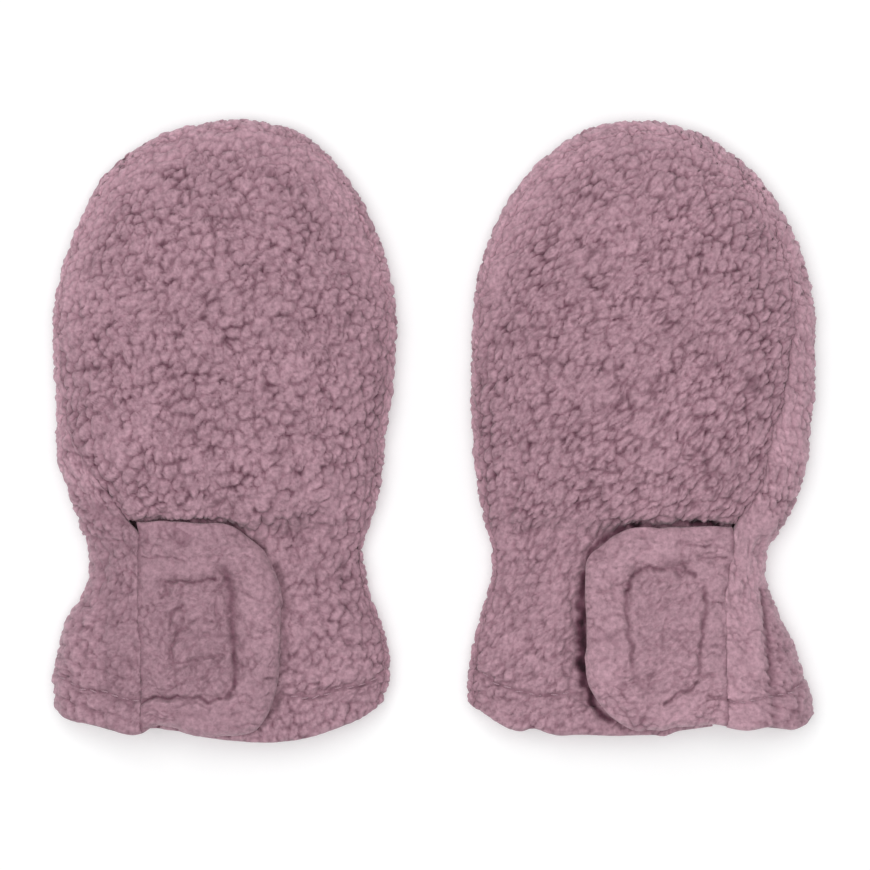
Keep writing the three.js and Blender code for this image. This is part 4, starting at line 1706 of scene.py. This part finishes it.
    def hem_thread(self, front: ClothPiece, back: ClothPiece) -> None:
        """Sews short stitches into the hem's pressed line, where no strap covers it.

        Args:
            front: The front's wall.
            back: The back's wall.
        """
        bm = bmesh.new()
        place = self.place()
        chance = np.random.default_rng(self.wool.seed + Draw.STITCH)
        radius = self.stitch_radius * MM
        for wall, stitched in ((front, self.front_stitched), (back, self.back_stitched)):
            middles = np.linspace(*stitched, self.stitches)
            half = (middles[1] - middles[0]) * self.stitch_share / 2
            level = np.full_like(middles, self.shape.hem_depth / self.shape.tip_start - 1)
            line = self.hem_line(wall.outer(middles, level)[:, 0]) / self.shape.tip_start - 1
            ends = []
            for p in (middles - half, middles + half):
                q = line + chance.normal(0, self.stitch_drift, len(p))
                ends.append(wall.on_relief(p, q, self.stitch_lift))
            for start, end in zip(*ends):
                start, end = place @ Vector(start), place @ Vector(end)
                turn = (end - start).to_track_quat("X", "Z").to_matrix().to_4x4()
                size = Matrix.Diagonal(((end - start).length / 2, radius, radius, 1.0))
                matrix = Matrix.Translation((start + end) / 2) @ turn @ size
                bmesh.ops.create_uvsphere(bm, u_segments=8, v_segments=6, radius=1.0, matrix=matrix)
        thread = object_from(self.named("hem_stitches"), bm)
        thread.data.materials.append(self.thread)
        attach(thread, "root")
        LOG.info("%s: %d faces", thread.name, len(thread.data.polygons))

    def build(self) -> None:
        """Builds the mitten's pieces and its hem's stitches."""
        front_wall, back_wall, strap_wall = self.walls()
        front = self.dress("front", front_wall)
        back = self.dress("back", back_wall)
        strap = self.dress("strap", strap_wall)
        self.hem_thread(front_wall, back_wall)


@dataclass(frozen=True)
class Studio:
    """The plain white surface, the soft light and the camera straight above."""

    frame_width: float = 0.1898
    frame_middle: tuple[float, float] = (0.0004, -0.0011)
    lens: float = 180.0
    sensor: float = 36.0
    outline_height: float = 0.006
    floor_reach: float = 1.5
    floor_colour: Colour = (0.86, 0.87, 0.87)
    floor_glow: float = 0.18
    lamp_size: float = 1.0
    lamp_power: float = 10.6
    lamp_place: tuple[float, float, float] = (-0.1, 0.06, 1.2)
    surround: float = 0.42

    def floor(self) -> None:
        """Makes the white surface that the pair lies on."""
        bm = bmesh.new()
        bmesh.ops.create_grid(bm, x_segments=1, y_segments=1, size=self.floor_reach)
        floor = object_from("floor", bm, smooth_faces=False)
        white = {"Base Color": (*self.floor_colour, 1.0), "Roughness": 0.9, "Specular IOR Level": 0.1}
        glow = {"Emission Color": (1.0, 1.0, 1.0, 1.0), "Emission Strength": self.floor_glow}
        floor.data.materials.append(Finish("white_surface", white | glow).material)

    def lights(self) -> None:
        """Adds a wide soft lamp overhead, a little to the left, and an even white surround."""
        lamp = bpy.data.lights.new("soft_lamp", "AREA")
        lamp.size = self.lamp_size
        lamp.energy = self.lamp_power
        key = bpy.data.objects.new("soft_lamp", lamp)
        key.location = self.lamp_place
        key.rotation_euler = (Vector((0, 0, 0)) - key.location).to_track_quat("-Z", "Y").to_euler()
        bpy.context.scene.collection.objects.link(key)
        world = bpy.data.worlds.new("surround")
        world.use_nodes = True
        background = world.node_tree.nodes["Background"]
        background.inputs["Color"].default_value = (1.0, 1.0, 1.0, 1.0)
        background.inputs["Strength"].default_value = self.surround
        bpy.context.scene.world = world

    def camera(self) -> None:
        """Sets the camera straight above, with the photograph's field of view."""
        data = bpy.data.cameras.new("camera")
        data.lens, data.sensor_width = self.lens, self.sensor
        camera = bpy.data.objects.new("camera", data)
        height = self.outline_height + self.frame_width * self.lens / self.sensor
        camera.location = (*self.frame_middle, height)
        bpy.context.scene.collection.objects.link(camera)
        bpy.context.scene.camera = camera

    def build(self) -> None:
        """Builds the floor, the lights and the camera."""
        self.floor()
        self.lights()
        self.camera()
        bpy.context.scene.view_settings.view_transform = "Standard"


def main() -> None:
    """Builds the studio and both mittens."""
    logging.basicConfig(level=logging.INFO, format="%(name)s %(message)s")
    Studio().build()
    fleece = WoolFinish("dusty_mauve_fleece").material()
    thread = ThreadFinish("mauve_thread").material()
    Mitten(Side.LEFT, LEFT_SHAPE, LEFT_WOOL, fleece, thread).build()
    Mitten(Side.RIGHT, RIGHT_SHAPE, RIGHT_WOOL, fleece, thread).build()


if __name__ == "__main__":
    main()
